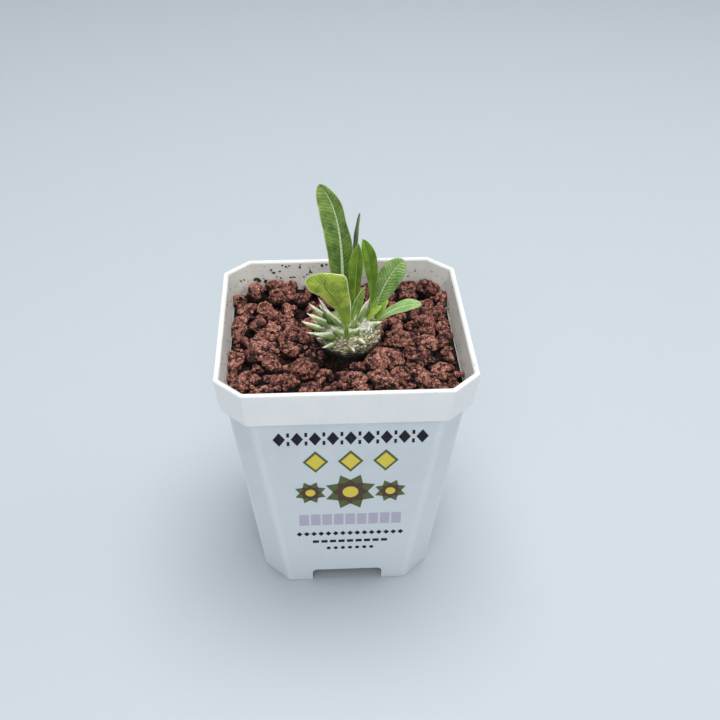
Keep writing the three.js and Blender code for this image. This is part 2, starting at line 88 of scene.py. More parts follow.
def knob_noise(points, salt=0):
    """0 in the creases between knobs that are about one unit across, and up to 1 on their tops."""
    cells = np.floor(points)
    nearest = np.full(len(points), 9.0)
    second = nearest.copy()
    for offset in itertools.product((-1, 0, 1), repeat=3):
        cell = cells + offset
        middle = cell + np.stack([hashed(cell, salt + axis) for axis in range(3)], axis=1)
        distance = np.linalg.norm(points - middle, axis=1)
        second = np.minimum(second, np.maximum(nearest, distance))
        nearest = np.minimum(nearest, distance)
    return np.clip((second - nearest) / 0.55, 0, 1)


def smooth_step(value, low, high):
    share = np.clip((value - low) / (high - low), 0, 1)
    return share * share * (3 - 2 * share)


def paint(red, green, blue):
    """A colour given as 0..255 on screen, as the linear values that a shader takes."""
    def linear(value):
        value /= 255
        return value / 12.92 if value <= 0.04045 else ((value + 0.055) / 1.055) ** 2.4

    return (linear(red), linear(green), linear(blue), 1.0)


# Meshes

def make_piece(name, points, faces, material, values=None):
    """An object of those points, in millimetres, with a value for each point by name."""
    mesh = bpy.data.meshes.new(name)
    mesh.from_pydata((np.asarray(points, float) * MM).tolist(), [], [tuple(f) for f in faces])
    mesh.validate()
    give_values(mesh, **(values or {}))
    mesh.materials.append(material)
    mesh.shade_smooth()
    piece = bpy.data.objects.new(name, mesh)
    bpy.context.scene.collection.objects.link(piece)
    return piece


def applied(piece):
    """The piece with its modifiers made part of its mesh."""
    bpy.context.view_layer.update()
    graph = bpy.context.evaluated_depsgraph_get()
    mesh = bpy.data.meshes.new_from_object(piece.evaluated_get(graph))
    piece.modifiers.clear()
    piece.data = mesh
    return piece


def give_values(mesh, **values):
    for label, numbers in values.items():
        layer = mesh.attributes.new(label, "FLOAT", "POINT")
        layer.data.foreach_set("value", np.asarray(numbers, np.float32))


def points_of(mesh):
    """The mesh's points, in millimetres."""
    points = np.empty(len(mesh.vertices) * 3)
    mesh.vertices.foreach_get("co", points)
    return points.reshape(-1, 3) / MM


def concavity(mesh, rounds):
    """How hollow the surface is round each point: above 0 in a hollow, below 0 on a ridge."""
    points = points_of(mesh)
    normals = np.array([v.vector for v in mesh.vertex_normals])
    edges = np.empty(len(mesh.edges) * 2, int)
    mesh.edges.foreach_get("vertices", edges)
    first, second = edges.reshape(-1, 2).T
    ends = np.concatenate([first, second])
    others = np.concatenate([second, first])
    counts = np.bincount(ends, minlength=len(points))

    def average(values):
        return np.bincount(ends, values[others], len(points)) / counts

    middle = np.stack([average(points[:, axis]) for axis in range(3)], axis=1)
    depth = ((middle - points) * normals).sum(axis=1)
    for _ in range(rounds):
        depth = average(depth)
    return depth


def part_of_plant(piece, slot, *nodes):
    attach(piece, "root")
    if nodes:
        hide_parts(*nodes)
    return piece


def loft_faces(rings, count, closed_ends=True):
    """Quads between rings of count points, and a polygon over each end."""
    faces = []
    for row in range(rings - 1):
        for i in range(count):
            a = row * count + i
            b = row * count + (i + 1) % count
            faces.append((a, b, b + count, a + count))
    if closed_ends:
        faces.append(tuple(reversed(range(count))))
        faces.append(tuple(range((rings - 1) * count, rings * count)))
    return faces


class Heap:
    """Several meshes gathered into one, with their values by point."""

    def __init__(self):
        self.points = []
        self.faces = []
        self.values = {}
        self.count = 0

    def add(self, points, faces, **values):
        self.points.append(np.asarray(points, float))
        self.faces.extend(tuple(i + self.count for i in face) for face in faces)
        for label, numbers in values.items():
            spread = np.broadcast_to(numbers, len(points))
            self.values.setdefault(label, []).append(spread)
        self.count += len(points)

    def piece(self, name, material):
        values = {label: np.concatenate(parts) for label, parts in self.values.items()}
        return make_piece(name, np.concatenate(self.points), self.faces, material, values)


def icosphere(levels):
    ball = bmesh.new()
    bmesh.ops.create_icosphere(ball, subdivisions=levels, radius=1)
    points = np.array([v.co for v in ball.verts])
    faces = [tuple(v.index for v in face.verts) for face in ball.faces]
    ball.free()
    return points, faces


# Shader graphs

class Shader:
    """A material's nodes, made by short calls that give back sockets."""

    def __init__(self, name):
        self.material = bpy.data.materials.new(name)
        self.material.use_nodes = True
        self.tree = self.material.node_tree
        self.surface = self.tree.nodes["Principled BSDF"]
        self.place = self.make("ShaderNodeTexCoord").outputs["Object"]

    def make(self, kind, **settings):
        node = self.tree.nodes.new(kind)
        for label, value in settings.items():
            setattr(node, label, value)
        return node

    def plug(self, socket, value):
        if isinstance(value, bpy.types.NodeSocket):
            self.tree.links.new(value, socket)
        else:
            socket.default_value = value

    def set(self, **inputs):
        """Sets the surface's own inputs: a constant, or a socket to link."""
        for label, value in inputs.items():
            self.plug(self.surface.inputs[label.replace("_", " ")], value)

    def math(self, operation, *values, clamp=False):
        node = self.make("ShaderNodeMath", operation=operation, use_clamp=clamp)
        for socket, value in zip(node.inputs, values):
            self.plug(socket, value)
        return node.outputs[0]

    def value(self, name):
        return self.make("ShaderNodeAttribute", attribute_name=name).outputs["Fac"]

    def split(self, vector):
        node = self.make("ShaderNodeSeparateXYZ")
        self.plug(node.inputs[0], vector)
        return node.outputs

    def scaled(self, vector, scale):
        node = self.make("ShaderNodeMapping")
        self.plug(node.inputs["Vector"], vector)
        self.plug(node.inputs["Scale"], scale)
        return node.outputs[0]

    def noise(self, grain, detail=2.0, roughness=0.5, vector=None, distortion=0.0):
        """Noise in 0..1 whose grain is that many millimetres."""
        node = self.make("ShaderNodeTexNoise")
        self.plug(node.inputs["Vector"], vector or self.place)
        self.plug(node.inputs["Scale"], 1 / (grain * MM))
        self.plug(node.inputs["Detail"], detail)
        self.plug(node.inputs["Roughness"], roughness)
        self.plug(node.inputs["Distortion"], distortion)
        return node.outputs["Fac"]

    def cells(self, grain, feature="F1", vector=None, output="Distance"):
        node = self.make("ShaderNodeTexVoronoi", feature=feature)
        self.plug(node.inputs["Vector"], vector or self.place)
        self.plug(node.inputs["Scale"], 1 / (grain * MM))
        return node.outputs[output]

    def step(self, value, low, high, to_low=0.0, to_high=1.0):
        node = self.make("ShaderNodeMapRange", interpolation_type="SMOOTHSTEP")
        self.plug(node.inputs["Value"], value)
        self.plug(node.inputs["From Min"], low)
        self.plug(node.inputs["From Max"], high)
        self.plug(node.inputs["To Min"], to_low)
        self.plug(node.inputs["To Max"], to_high)
        return node.outputs["Result"]

    def mix(self, share, first, second, blend="MIX"):
        node = self.make("ShaderNodeMix", data_type="RGBA", blend_type=blend)
        self.plug(node.inputs["Factor"], share)
        self.plug(node.inputs[6], first)
        self.plug(node.inputs[7], second)
        return node.outputs[2]

    def over(self, base, colour, share, strength):
        """The base with the colour laid over it where share is high, at most that strongly."""
        return self.mix(self.math("MULTIPLY", share, strength), base, colour)

    def ramp(self, value, *stops):
        node = self.make("ShaderNodeValToRGB")
        while len(node.color_ramp.elements) < len(stops):
            node.color_ramp.elements.new(0.5)
        for element, (place, colour) in zip(node.color_ramp.elements, stops):
            element.position = place
            element.color = colour
        self.plug(node.inputs["Fac"], value)
        return node.outputs["Color"]

    def bump(self, height, depth, below=None):
        """Relief of that many millimetres, over the relief below it."""
        node = self.make("ShaderNodeBump")
        self.plug(node.inputs["Height"], height)
        self.plug(node.inputs["Distance"], depth * MM)
        if below is not None:
            self.plug(node.inputs["Normal"], below)
        return node.outputs["Normal"]


# Camera: fitted to the pot's corners in the photograph, in millimetres and degrees
CAMERA_TARGET = (4.861, 0.0, 63.868)
CAMERA_DISTANCE = 303.67
CAMERA_AZIMUTH = -3.263
CAMERA_ELEVATION = 35.006
CAMERA_ROLL = 0.417
CAMERA_LENS = 52.459
CAMERA_SENSOR = 36.0


def make_camera():
    azimuth, elevation = math.radians(CAMERA_AZIMUTH), math.radians(CAMERA_ELEVATION)
    back = Vector((
        math.sin(azimuth) * math.cos(elevation),
        -math.cos(azimuth) * math.cos(elevation),
        math.sin(elevation),
    ))
    right = Vector((0, 0, 1)).cross(back).normalized()
    up = back.cross(right)
    turn = Matrix.Rotation(math.radians(CAMERA_ROLL), 3, back)
    axes = Matrix((turn @ right, turn @ up, back)).transposed().to_4x4()
    place = Vector(CAMERA_TARGET) + back * CAMERA_DISTANCE
    camera = bpy.data.objects.new("camera", bpy.data.cameras.new("camera"))
    camera.data.lens = CAMERA_LENS
    camera.data.sensor_width = CAMERA_SENSOR
    camera.data.clip_start = 0.01
    camera.matrix_world = Matrix.Translation(place * MM) @ axes
    bpy.context.scene.collection.objects.link(camera)
    bpy.context.scene.camera = camera


make_camera()


# Stage: a pale floor that curves up into a wall all round, in metres
FLOOR_RADIUS = 1.1
FLOOR_CURVE = 0.9
FLOOR_WALL = 1.0
FLOOR_SIDES = 96


def make_stage():
    profile = [(FLOOR_RADIUS / 2, 0.0), (FLOOR_RADIUS, 0.0)]
    for step in range(1, 13):
        angle = step * math.pi / 24
        reach = FLOOR_RADIUS + FLOOR_CURVE * math.sin(angle)
        profile.append((reach, FLOOR_CURVE * (1 - math.cos(angle))))
    profile.append((FLOOR_RADIUS + FLOOR_CURVE, FLOOR_CURVE + FLOOR_WALL))
    points = []
    for reach, height in profile:
        for i in range(FLOOR_SIDES):
            angle = i * 2 * math.pi / FLOOR_SIDES
            points.append((reach * math.cos(angle), reach * math.sin(angle), height))
    faces = loft_faces(len(profile), FLOOR_SIDES, closed_ends=False)
    faces = [tuple(reversed(face)) for face in faces]
    faces.append(tuple(range(FLOOR_SIDES)))
    look = Shader("floor")
    look.set(Base_Color=paint(193, 199, 203), Roughness=0.8, Specular_IOR_Level=0.2)
    floor = make_piece("floor", np.array(points) / MM, faces, look.material)


def make_light(name, place, aim, size, energy, colour):
    light = bpy.data.lights.new(name, "AREA")
    light.shape = "DISK"
    light.size = size
    light.energy = energy
    light.color = colour
    lamp = bpy.data.objects.new(name, light)
    lamp.location = place
    lamp.rotation_euler = (Vector(place) - Vector(aim)).to_track_quat("Z", "Y").to_euler()
    bpy.context.scene.collection.objects.link(lamp)


def make_lights():
    centre = (0, 0, 0.07)
    make_light("top_light", (0.05, 0.1, 0.95), centre, 0.7, 6.0, (0.99, 0.99, 1.0))
    make_light("front_light", (-0.08, -0.8, 0.72), centre, 0.7, 2.95, (0.98, 0.99, 1.0))
    make_light("right_light", (0.8, 0.1, 0.6), centre, 0.7, 1.1, (0.98, 0.99, 1.0))
    world = bpy.data.worlds.new("world")
    world.use_nodes = True
    world.node_tree.nodes["Background"].inputs["Color"].default_value = (0.9, 0.95, 1.0, 1.0)
    world.node_tree.nodes["Background"].inputs["Strength"].default_value = 0.72
    bpy.context.scene.world = world
    bpy.context.scene.view_settings.view_transform = "Standard"


make_stage()
make_lights()


# The pot's driving dimensions: half widths across its flats, and the legs of its cut corners
POT_HEIGHT = 78
RIM_HALF = 35
RIM_CORNER = 7.4
BAND_HEIGHT = 10.9
BAND_HALF = 33.7
BAND_CORNER = 7.1
BODY_TOP_HALF = 32
BODY_TOP_CORNER = 6.5
BASE_HALF = 24.6
BASE_CORNER = 7.2
BODY_CORNER_ROUNDING = 1.1
BAND_CORNER_ROUNDING = 0.9
RIM_WALL = 1.6
BODY_WALL = 1.3
LEDGE_THICKNESS = 1.4
FLOOR_UNDERSIDE = 5.5
FLOOR_THICKNESS = 1.5
FOOT_ARCH_HALF = 10.4
FOOT_ARCH_HEIGHT = 4.7
FOOT_ARCH_ROUNDING = 1.4
CENTRE_HOLE_RADIUS = 3.5
OUTER_HOLE_RADIUS = 2.8
OUTER_HOLE_OFFSET = 13
BAND_BOTTOM = POT_HEIGHT - BAND_HEIGHT
FLOOR_TOP = FLOOR_UNDERSIDE + FLOOR_THICKNESS
LEDGE_TOP = BAND_BOTTOM + LEDGE_THICKNESS
INSET_CORNER = 2 - math.sqrt(2)

# A corner's points: share of its arc, way along the flat past it, and its share of painted edge
# highlight
CORNER_PLAN = [
    (0.0, -1.6, 0.0), (0.0, -0.7, 0.5),
    (0.0, 0.0, 1.0), (0.2, 0.0, 1.0), (0.4, 0.0, 1.0), (0.6, 0.0, 1.0), (0.8, 0.0, 1.0), (1.0, 0.0, 1.0),
    (1.0, 0.7, 0.5), (1.0, 1.6, 0.0),
]
RING_COUNT = 8 * len(CORNER_PLAN)


def pot_ring(half, corner, height, rounding):
    """A square with cut, rounded corners, counterclockwise from above."""
    flats = half - rounding
    cuts = (2 * half - corner) / math.sqrt(2) - rounding
    along = cuts * math.sqrt(2) - flats
    ring = []
    for side in range(8):
        quarter = side // 2 * math.pi / 2
        x, y = (flats, along) if side % 2 == 0 else (along, flats)
        middle_x = x * math.cos(quarter) - y * math.sin(quarter)
        middle_y = x * math.sin(quarter) + y * math.cos(quarter)
        for share, beside, _ in CORNER_PLAN:
            angle = (side + share) * math.pi / 4
            ring.append((
                middle_x + rounding * math.cos(angle) - beside * math.sin(angle),
                middle_y + rounding * math.sin(angle) + beside * math.cos(angle),
                height,
            ))
    return ring


def body_ring(height, inset=0.0):
    share = height / BAND_BOTTOM
    half = BASE_HALF + (BODY_TOP_HALF - BASE_HALF) * share
    corner = BASE_CORNER + (BODY_TOP_CORNER - BASE_CORNER) * share
    corner -= INSET_CORNER * inset
    return pot_ring(half - inset, corner, height, BODY_CORNER_ROUNDING)


def band_ring(height, inset=0.0):
    share = (height - BAND_BOTTOM) / BAND_HEIGHT
    half = BAND_HALF + (RIM_HALF - BAND_HALF) * share
    corner = BAND_CORNER + (RIM_CORNER - BAND_CORNER) * share
    corner -= INSET_CORNER * inset
    return pot_ring(half - inset, corner, height, BAND_CORNER_ROUNDING)


def rounding(ring, height, inset, down, inward, radius, steps=4):
    """Rings round a horizontal edge: from the wall, which is at inset, to the flat past it.
    down is -1 at an upper edge and 1 at a lower one, and inward is 1 where the flat lies inside."""
    rings = []
    for step in range(steps + 1):
        angle = step * math.pi / 2 / steps
        rise = radius * (1 - math.sin(angle)) * down
        shift = radius * (1 - math.cos(angle)) * inward
        rings.append(ring(height + rise, inset + shift))
    return rings


def pot_look():
    """White plastic: painted shade on the body where the dark gravel backs it, a painted highlight along
    its edges, and dirty inside.
    """
    look = Shader("white_plastic")
    z = look.split(look.place)[2]
    inside = look.value("inside")
    soft = look.noise(9, detail=3)
    fine = look.noise(0.8, detail=4, roughness=0.6)
    band = look.mix(look.step(soft, 0.3, 0.7), paint(249, 248, 246), paint(253, 251, 249))
    # Painted shade: the body below the band is a darker copy of the plastic, and less dark toward the
    # bottom.
    shaded_body = look.mix(look.step(soft, 0.3, 0.7), paint(218, 223, 227), paint(224, 229, 232))
    shaded_body = look.mix(look.step(z, 0.06, 0.01), shaded_body, paint(228, 233, 236))
    body_height = look.step(z, BAND_BOTTOM * MM + 0.0001, BAND_BOTTOM * MM - 0.0001)
    outer = look.mix(body_height, band, shaded_body)
    # Painted highlight: paler along the corners and the band's bottom lip.
    edge_highlight = look.math("MULTIPLY", look.step(look.value("edge"), 0.0, 1.0), 0.34)
    outer = look.mix(edge_highlight, outer, paint(250, 245, 243))
    smears = look.step(look.noise(1.6, detail=5, roughness=0.7), 0.56, 0.7)
    rim_dirt = look.math("MULTIPLY", smears, look.step(z, 0.0758, 0.0776))
    outer = look.over(outer, paint(176, 170, 158), rim_dirt, 0.3)
    inner = look.mix(look.step(soft, 0.3, 0.7), paint(226, 225, 217), paint(237, 236, 230))
    base = look.mix(inside, outer, inner)
    low_wall = look.step(z, 0.0772, 0.0695)
    blotches = look.step(look.noise(2.2, detail=5, roughness=0.72), 0.5, 0.66)
    stain = look.math("MULTIPLY", look.math("MULTIPLY", blotches, low_wall), inside)
    base = look.over(base, paint(146, 132, 114), stain, 0.4)
    spots = look.step(look.cells(1.3), 0.15, 0.09)
    patches = look.step(look.noise(8, detail=2), 0.48, 0.6)
    spots = look.math("MULTIPLY", spots, patches)
    spots = look.math("MULTIPLY", spots, look.math("MULTIPLY_ADD", inside, 0.6, 0.14))
    base = look.mix(spots, base, paint(62, 44, 36))
    drawn = look.scaled(look.place, (1.0, 1.0, 0.12))
    scuffs = look.step(look.noise(1.1, detail=5, roughness=0.75, vector=drawn), 0.58, 0.72)
    base = look.over(base, paint(188, 192, 192), scuffs, 0.16)
    rough = look.math("MULTIPLY_ADD", fine, 0.16, 0.28)
    rough = look.math("MULTIPLY_ADD", inside, 0.16, rough)
    relief = look.bump(look.noise(0.35, detail=2), 0.012)
    relief = look.bump(soft, 0.15, relief)
    look.set(Base_Color=base, Roughness=rough, Normal=relief)
    look.set(IOR=1.49, Subsurface_Weight=0.1, Subsurface_Scale=0.0015)
    look.set(Subsurface_Radius=(1.0, 0.95, 0.9))
    return look.material


def arch_cutter(turned):
    """The arched gap between two feet, running right through under the pot."""
    turn = FOOT_ARCH_ROUNDING
    shoulder = FOOT_ARCH_HEIGHT - turn
    outline = [(-FOOT_ARCH_HALF, -1), (FOOT_ARCH_HALF, -1)]
    for step in range(7):
        angle = step * math.pi / 12
        outline.append((
            FOOT_ARCH_HALF - turn + turn * math.cos(angle),
            shoulder + turn * math.sin(angle),
        ))
    for step in range(7):
        angle = math.pi / 2 + step * math.pi / 12
        outline.append((
            turn - FOOT_ARCH_HALF + turn * math.cos(angle),
            shoulder + turn * math.sin(angle),
        ))
    points = []
    for reach in (RIM_HALF, -RIM_HALF):
        for across, height in outline:
            points.append((reach, across, height) if turned else (across, reach, height))
    faces = loft_faces(2, len(outline))
    if turned:
        faces = [tuple(reversed(face)) for face in faces]
    return points, faces


def hole_cutter(x, y, radius):
    sides = 32
    points = []
    for height in (FLOOR_UNDERSIDE - 1, FLOOR_TOP + 1):
        for i in range(sides):
            angle = i * 2 * math.pi / sides
            points.append((x + radius * math.cos(angle), y + radius * math.sin(angle), height))
    return points, loft_faces(2, sides)


def cut_away(piece, points, faces):
    cutter = make_piece("cutter", points, faces, piece.data.materials[0])
    cut = piece.modifiers.new("cut", "BOOLEAN")
    cut.operation = "DIFFERENCE"
    cut.solver = "EXACT"
    cut.object = cutter
    applied(piece)
    bpy.data.objects.remove(cutter)


def make_pot():
    outer = [
        *reversed(rounding(body_ring, 0, 0, 1, 1, 0.35)),
        body_ring(BAND_BOTTOM - 0.35),
        body_ring(BAND_BOTTOM - 0.1, -0.08),
        body_ring(BAND_BOTTOM, -0.32),
        *reversed(rounding(band_ring, BAND_BOTTOM, 0, 1, 1, 0.35)),
        band_ring(BAND_BOTTOM + 0.6),
        *rounding(band_ring, POT_HEIGHT, 0, -1, 1, 0.75),
    ]
    rim_inside = reversed(rounding(band_ring, POT_HEIGHT, RIM_WALL, -1, -1, 0.75))
    inner = [
        *rim_inside,
        band_ring(LEDGE_TOP, RIM_WALL),
        body_ring(LEDGE_TOP - 1.2, BODY_WALL),
        body_ring(FLOOR_TOP + 0.6, BODY_WALL),
        body_ring(FLOOR_TOP, BODY_WALL + 0.6),
    ]
    underside = [
        body_ring(FLOOR_UNDERSIDE, BODY_WALL),
        body_ring(0.2, BODY_WALL),
        body_ring(0, BODY_WALL - 0.2),
    ]
    rings = [*underside, *outer, *inner]
    inside = [0.0] * (len(underside) + len(outer)) + [1.0] * len(inner)
    # The edge value marks where the painted highlight lies: the corner arcs and the band's bottom lip.
    at_corner = [highlight_share for _, _, highlight_share in CORNER_PLAN] * 8
    at_lip = [1.0 if BAND_BOTTOM < ring[0][2] < BAND_BOTTOM + 0.4 else 0.0 for ring in rings]
    values = {
        "inside": np.repeat(inside, RING_COUNT),
        "edge": np.maximum(np.tile(at_corner, len(rings)), np.repeat(at_lip, RING_COUNT)),
    }
    faces = loft_faces(len(rings), RING_COUNT)
    pot = make_piece("pot_shell", np.concatenate(rings), faces, pot_look(), values)
    cut_away(pot, *arch_cutter(False))
    cut_away(pot, *arch_cutter(True))
    cut_away(pot, *hole_cutter(0, 0, CENTRE_HOLE_RADIUS))
    for x in (-OUTER_HOLE_OFFSET, OUTER_HOLE_OFFSET):
        for y in (-OUTER_HOLE_OFFSET, OUTER_HOLE_OFFSET):
            cut_away(pot, *hole_cutter(x, y, OUTER_HOLE_RADIUS))
    pot.data.shade_smooth()
    pot.data.set_sharp_from_angle(angle=math.radians(35))
    pot.modifiers.new("even_shading", "WEIGHTED_NORMAL").keep_sharp = True
    applied(pot)
    part_of_plant(pot, "pot_plastic", "pot")


make_pot()


# Soil and moss that stick to the pot's inner walls, in millimetres
CRUMB_SEED = 733
CRUMB_COUNT = 330
CRUMB_LEAST = 0.07
CRUMB_SPREAD = 0.24
CRUMB_FLATNESS = 0.45
SOIL, MOSS, LEAF_MOSS = 0.0, 1.0, 2.0

# The ones that show best, on the back wall: place across and up it, half sizes, and kind
BACK_CRUMBS = [
    (-25.3, 72.4, 0.75, 0.6, SOIL), (-24.7, 71.9, 0.6, 0.7, SOIL), (-26.3, 72.1, 0.3, 0.3, SOIL),
    (-22.7, 71.6, 0.5, 0.7, SOIL), (-22.1, 70.8, 0.75, 0.6, SOIL), (-23.2, 72.4, 0.25, 0.2, SOIL),
    (-20.1, 74.4, 0.65, 0.35, SOIL), (-18.2, 74.8, 0.35, 0.25, SOIL), (-20.9, 75.3, 0.3, 0.4, SOIL),
    (-19.2, 73.1, 0.3, 0.2, SOIL), (-5.2, 76.5, 0.45, 0.5, SOIL), (-3.9, 76.7, 0.4, 0.3, SOIL),
    (-28.6, 75.9, 0.3, 0.3, SOIL), (-14.9, 72.7, 0.55, 0.25, SOIL), (-13.9, 72.8, 0.5, 0.22, SOIL),
    (-17.4, 76.7, 0.3, 0.25, SOIL), (-16.3, 76.3, 0.3, 0.4, SOIL), (-15.3, 76.6, 0.45, 0.2, SOIL),
    (-12.0, 76.1, 0.35, 0.45, SOIL), (-11.8, 77.0, 0.25, 0.2, SOIL), (-8.9, 75.1, 0.2, 0.2, SOIL),
    (-19.4, 69.9, 0.3, 0.7, SOIL), (11.2, 73.9, 0.35, 0.3, SOIL), (-10.8, 72.8, 0.3, 0.2, SOIL),
    (-21.4, 69.4, 0.9, 0.5, SOIL), (-20.5, 68.8, 0.8, 0.5, SOIL), (5.2, 72.1, 0.25, 0.2, SOIL),
    (-30.3, 73.9, 0.75, 0.4, MOSS), (-29.4, 73.7, 0.5, 0.3, MOSS), (-30.9, 74.2, 0.3, 0.2, MOSS),
    (-8.7, 74.3, 0.6, 0.3, LEAF_MOSS), (-8.9, 74.8, 0.25, 0.4, LEAF_MOSS),
    (16.9, 75.4, 0.2, 0.2, SOIL), (21.5, 72.3, 0.3, 0.25, SOIL), (28.9, 74.6, 0.25, 0.3, SOIL),
]


def wall_place(turn, across, z):
    """A point on an inner wall and the wall's own axes: the back wall with the cut corners beside
    it, turned by quarters."""
    half = np.interp(z, [BAND_BOTTOM, POT_HEIGHT], [BAND_HALF, RIM_HALF]) - RIM_WALL
    corner = BAND_CORNER - INSET_CORNER * RIM_WALL
    reach = min(half, 2 * half - corner - abs(across))
    angle = turn * math.pi / 2
    along = np.array([math.cos(angle), math.sin(angle), 0])
    out = np.array([-math.sin(angle), math.cos(angle), 0])
    return along * across + out * reach + np.array([0, 0, z]), along, out


def crumb(ball, turn, across, z, wide, high, salt):
    directions, faces = ball
    place, along, out = wall_place(turn, across, z)
    lumps = 1 + 0.5 * smooth_noise(directions * 1.7 + salt, salt)
    spread = directions * lumps[:, None]
    points = place + np.outer(spread[:, 0] * wide, along)
    points -= np.outer(spread[:, 1] * CRUMB_FLATNESS * min(wide, high), out)
    points[:, 2] += spread[:, 2] * high
    return points, [face[::-1] for face in faces]


def crumb_look():
    look = Shader("soil_crumbs")
    kind = look.value("kind")
    grain = look.noise(0.3, detail=4, roughness=0.7)
    soil = look.mix(look.step(grain, 0.35, 0.65), paint(34, 27, 24), paint(96, 72, 54))
    moss = look.mix(look.step(grain, 0.4, 0.6), paint(84, 74, 30), paint(186, 172, 66))
    green = look.mix(look.step(grain, 0.4, 0.6), paint(34, 52, 20), paint(98, 120, 50))
    tone = look.mix(look.step(kind, 0.4, 0.6), soil, moss)
    tone = look.mix(look.step(kind, 1.4, 1.6), tone, green)
    look.set(Base_Color=tone, Roughness=0.9, Specular_IOR_Level=0.2, Normal=look.bump(grain, 0.1))
    return look.material


def make_crumbs():
    draw = draws_from(CRUMB_SEED)
    ball, fine_ball = icosphere(2), icosphere(3)
    crumbs = Heap()
    for salt, (across, z, wide, high, kind) in enumerate(BACK_CRUMBS):
        crumbs.add(*crumb(fine_ball, 0, across, z, wide, high, salt), kind=kind)
    for salt in range(CRUMB_COUNT):
        turn = salt % 4
        across = (2 * draw() - 1) * 30
        z = 69.4 + 7.6 * draw() ** 1.4
        wide = CRUMB_LEAST + CRUMB_SPREAD * draw() ** 3
        high = wide * (0.7 + 0.6 * draw())
        kind = MOSS if draw() > 0.95 else SOIL
        crumbs.add(*crumb(ball, turn, across, z, wide, high, salt), kind=kind)
    part_of_plant(crumbs.piece("wall_crumbs", crumb_look()), "lava_gravel")


make_crumbs()


# The print on the pot's front: common geometric figures, in millimetres across and up the front
PRINT_MIDDLE = 0.8
PRINT_PROUD = 0.05
PRINT_LAYER = 0.02


def front_point(x, z, proud):
    """A point on the pot's tapered front, moved out of it."""
    slope = (BODY_TOP_HALF - BASE_HALF) / BAND_BOTTOM
    lean = math.hypot(1, slope)
    y = -(BASE_HALF + slope * z)
    return (x, y - proud / lean, z - proud * slope / lean)


class Print:
    """Flat figures of one ink, each a thin plate on the front."""

    def __init__(self, name, colour, layer=0):
        self.name = name
        self.colour = colour
        self.proud = PRINT_PROUD + PRINT_LAYER * layer
        self.heap = Heap()

    def figure(self, outline):
        count = len(outline)
        points = [front_point(x, z, proud) for proud in (-0.1, self.proud) for x, z in outline]
        faces = loft_faces(2, count)
        self.heap.add(points, faces)

    def diamond(self, x, z, wide, high):
        half, rise = wide / 2, high / 2
        self.figure([(x + half, z), (x, z + rise), (x - half, z), (x, z - rise)])

    def bar(self, x, z, wide, high):
        half, rise = wide / 2, high / 2
        low, top = z - rise, z + rise
        self.figure([(x + half, low), (x + half, top), (x - half, top), (x - half, low)])

    def disc(self, x, z, radius):
        angles = [i * math.pi / 16 for i in range(32)]
        self.figure([(x + radius * math.cos(a), z + radius * math.sin(a)) for a in angles])

    def star(self, x, z, radius, points, waist, turn=0.0):
        outline = []
        for i in range(2 * points):
            angle = turn + i * math.pi / points
            reach = radius if i % 2 == 0 else radius * waist
            outline.append((x + reach * math.cos(angle), z + reach * math.sin(angle)))
        self.figure(outline)

    def place(self):
        look = Shader(self.name)
        wear = look.step(look.noise(0.5, detail=4, roughness=0.7), 0.28, 0.4)
        faded = look.mix(0.3, self.colour, paint(206, 212, 216))
        tone = look.mix(wear, faded, self.colour)
        look.set(Base_Color=tone, Roughness=look.math("MULTIPLY_ADD", wear, 0.1, 0.38))
        look.set(Specular_IOR_Level=0.2)
        look.set(Normal=look.bump(look.noise(0.35, detail=2), 0.01))
        piece = self.heap.piece(self.name, look.material)
        piece.data.shade_flat()
        part_of_plant(piece, "print_ink")


def make_print():
    black = Print("print_black", paint(24, 24, 32))
    green = Print("print_green", paint(96, 108, 66))
    brown = Print("print_brown", paint(92, 66, 56), layer=1)
    yellow = Print("print_yellow", paint(238, 214, 84), layer=2)
    violet = Print("print_violet", paint(196, 190, 206))
    for i in range(-4, 5):
        black.diamond(PRINT_MIDDLE + i * 4.8, 60.5, 3.3, 5.0)
    for i in range(-4, 4):
        x = PRINT_MIDDLE + (i + 0.5) * 4.8
        black.bar(x, 62.1, 0.75, 1.5)
        black.bar(x, 58.9, 0.75, 1.5)
    for offset in (-9.6, 0, 9.6):
        yellow.diamond(PRINT_MIDDLE + offset, 51.6, 5.2, 6.2)
        green.diamond(PRINT_MIDDLE + offset, 51.6, 7.0, 8.4)
    for offset, size in ((-11.2, 4.6), (0, 7.4), (11.2, 4.6)):
        x, z = PRINT_MIDDLE + offset, 39.2
        green.star(x, z, size, 8, 0.66, math.pi / 8)
        brown.star(x, z, size * 0.68, 8, 0.74)
        yellow.disc(x, z, size * 0.3)
    for i in range(-4, 5):
        violet.bar(PRINT_MIDDLE + i * 3.3, 27.6, 2.7, 4.6)
    for i in range(-7, 8):
        black.diamond(PRINT_MIDDLE + i * 2.1, 21.4, 1.7, 1.9)
    for i in range(-4, 5):
        black.bar(PRINT_MIDDLE + i * 2.5, 17.9, 1.8, 1.1)
    for i in range(-3, 4):
        black.disc(PRINT_MIDDLE + i * 2.1, 14.8, 0.6)
    for ink in (black, green, brown, yellow, violet):
        ink.place()


make_print()


# Gravel: the same stones as the CAD's, listed and sown, and finer grit between them
BED_TOP = 66.9
BANK_WIDTH = 3.2
FIT_GAP = 0.3
STONE_EDGE = 30.9
STONE_CORNER = 56
STEM_RING = 8.4
BACK_RISE = 1.4
HEIGHT_SHAKE = 1.6
STONE_SEED = 4207
SOWING_SHAKE = 0.4
STONE_WIDENING = 1.08
STONE_FLATTENING = 0.94
LARGE_LUMP = 2.72
CAUDEX_X = 1.5
CAUDEX_Y = 0.5

# A sowing's pitch and cells to each side, the stones' least radius and its spread, their height,
# and how near two stones may come, as a share of their radii
SOWINGS = [
    (5, 6, 2.1, 1, 68.1, 0.66),
    (3.4, 9, 1.3, 0.6, 68.3, 0.86),
]

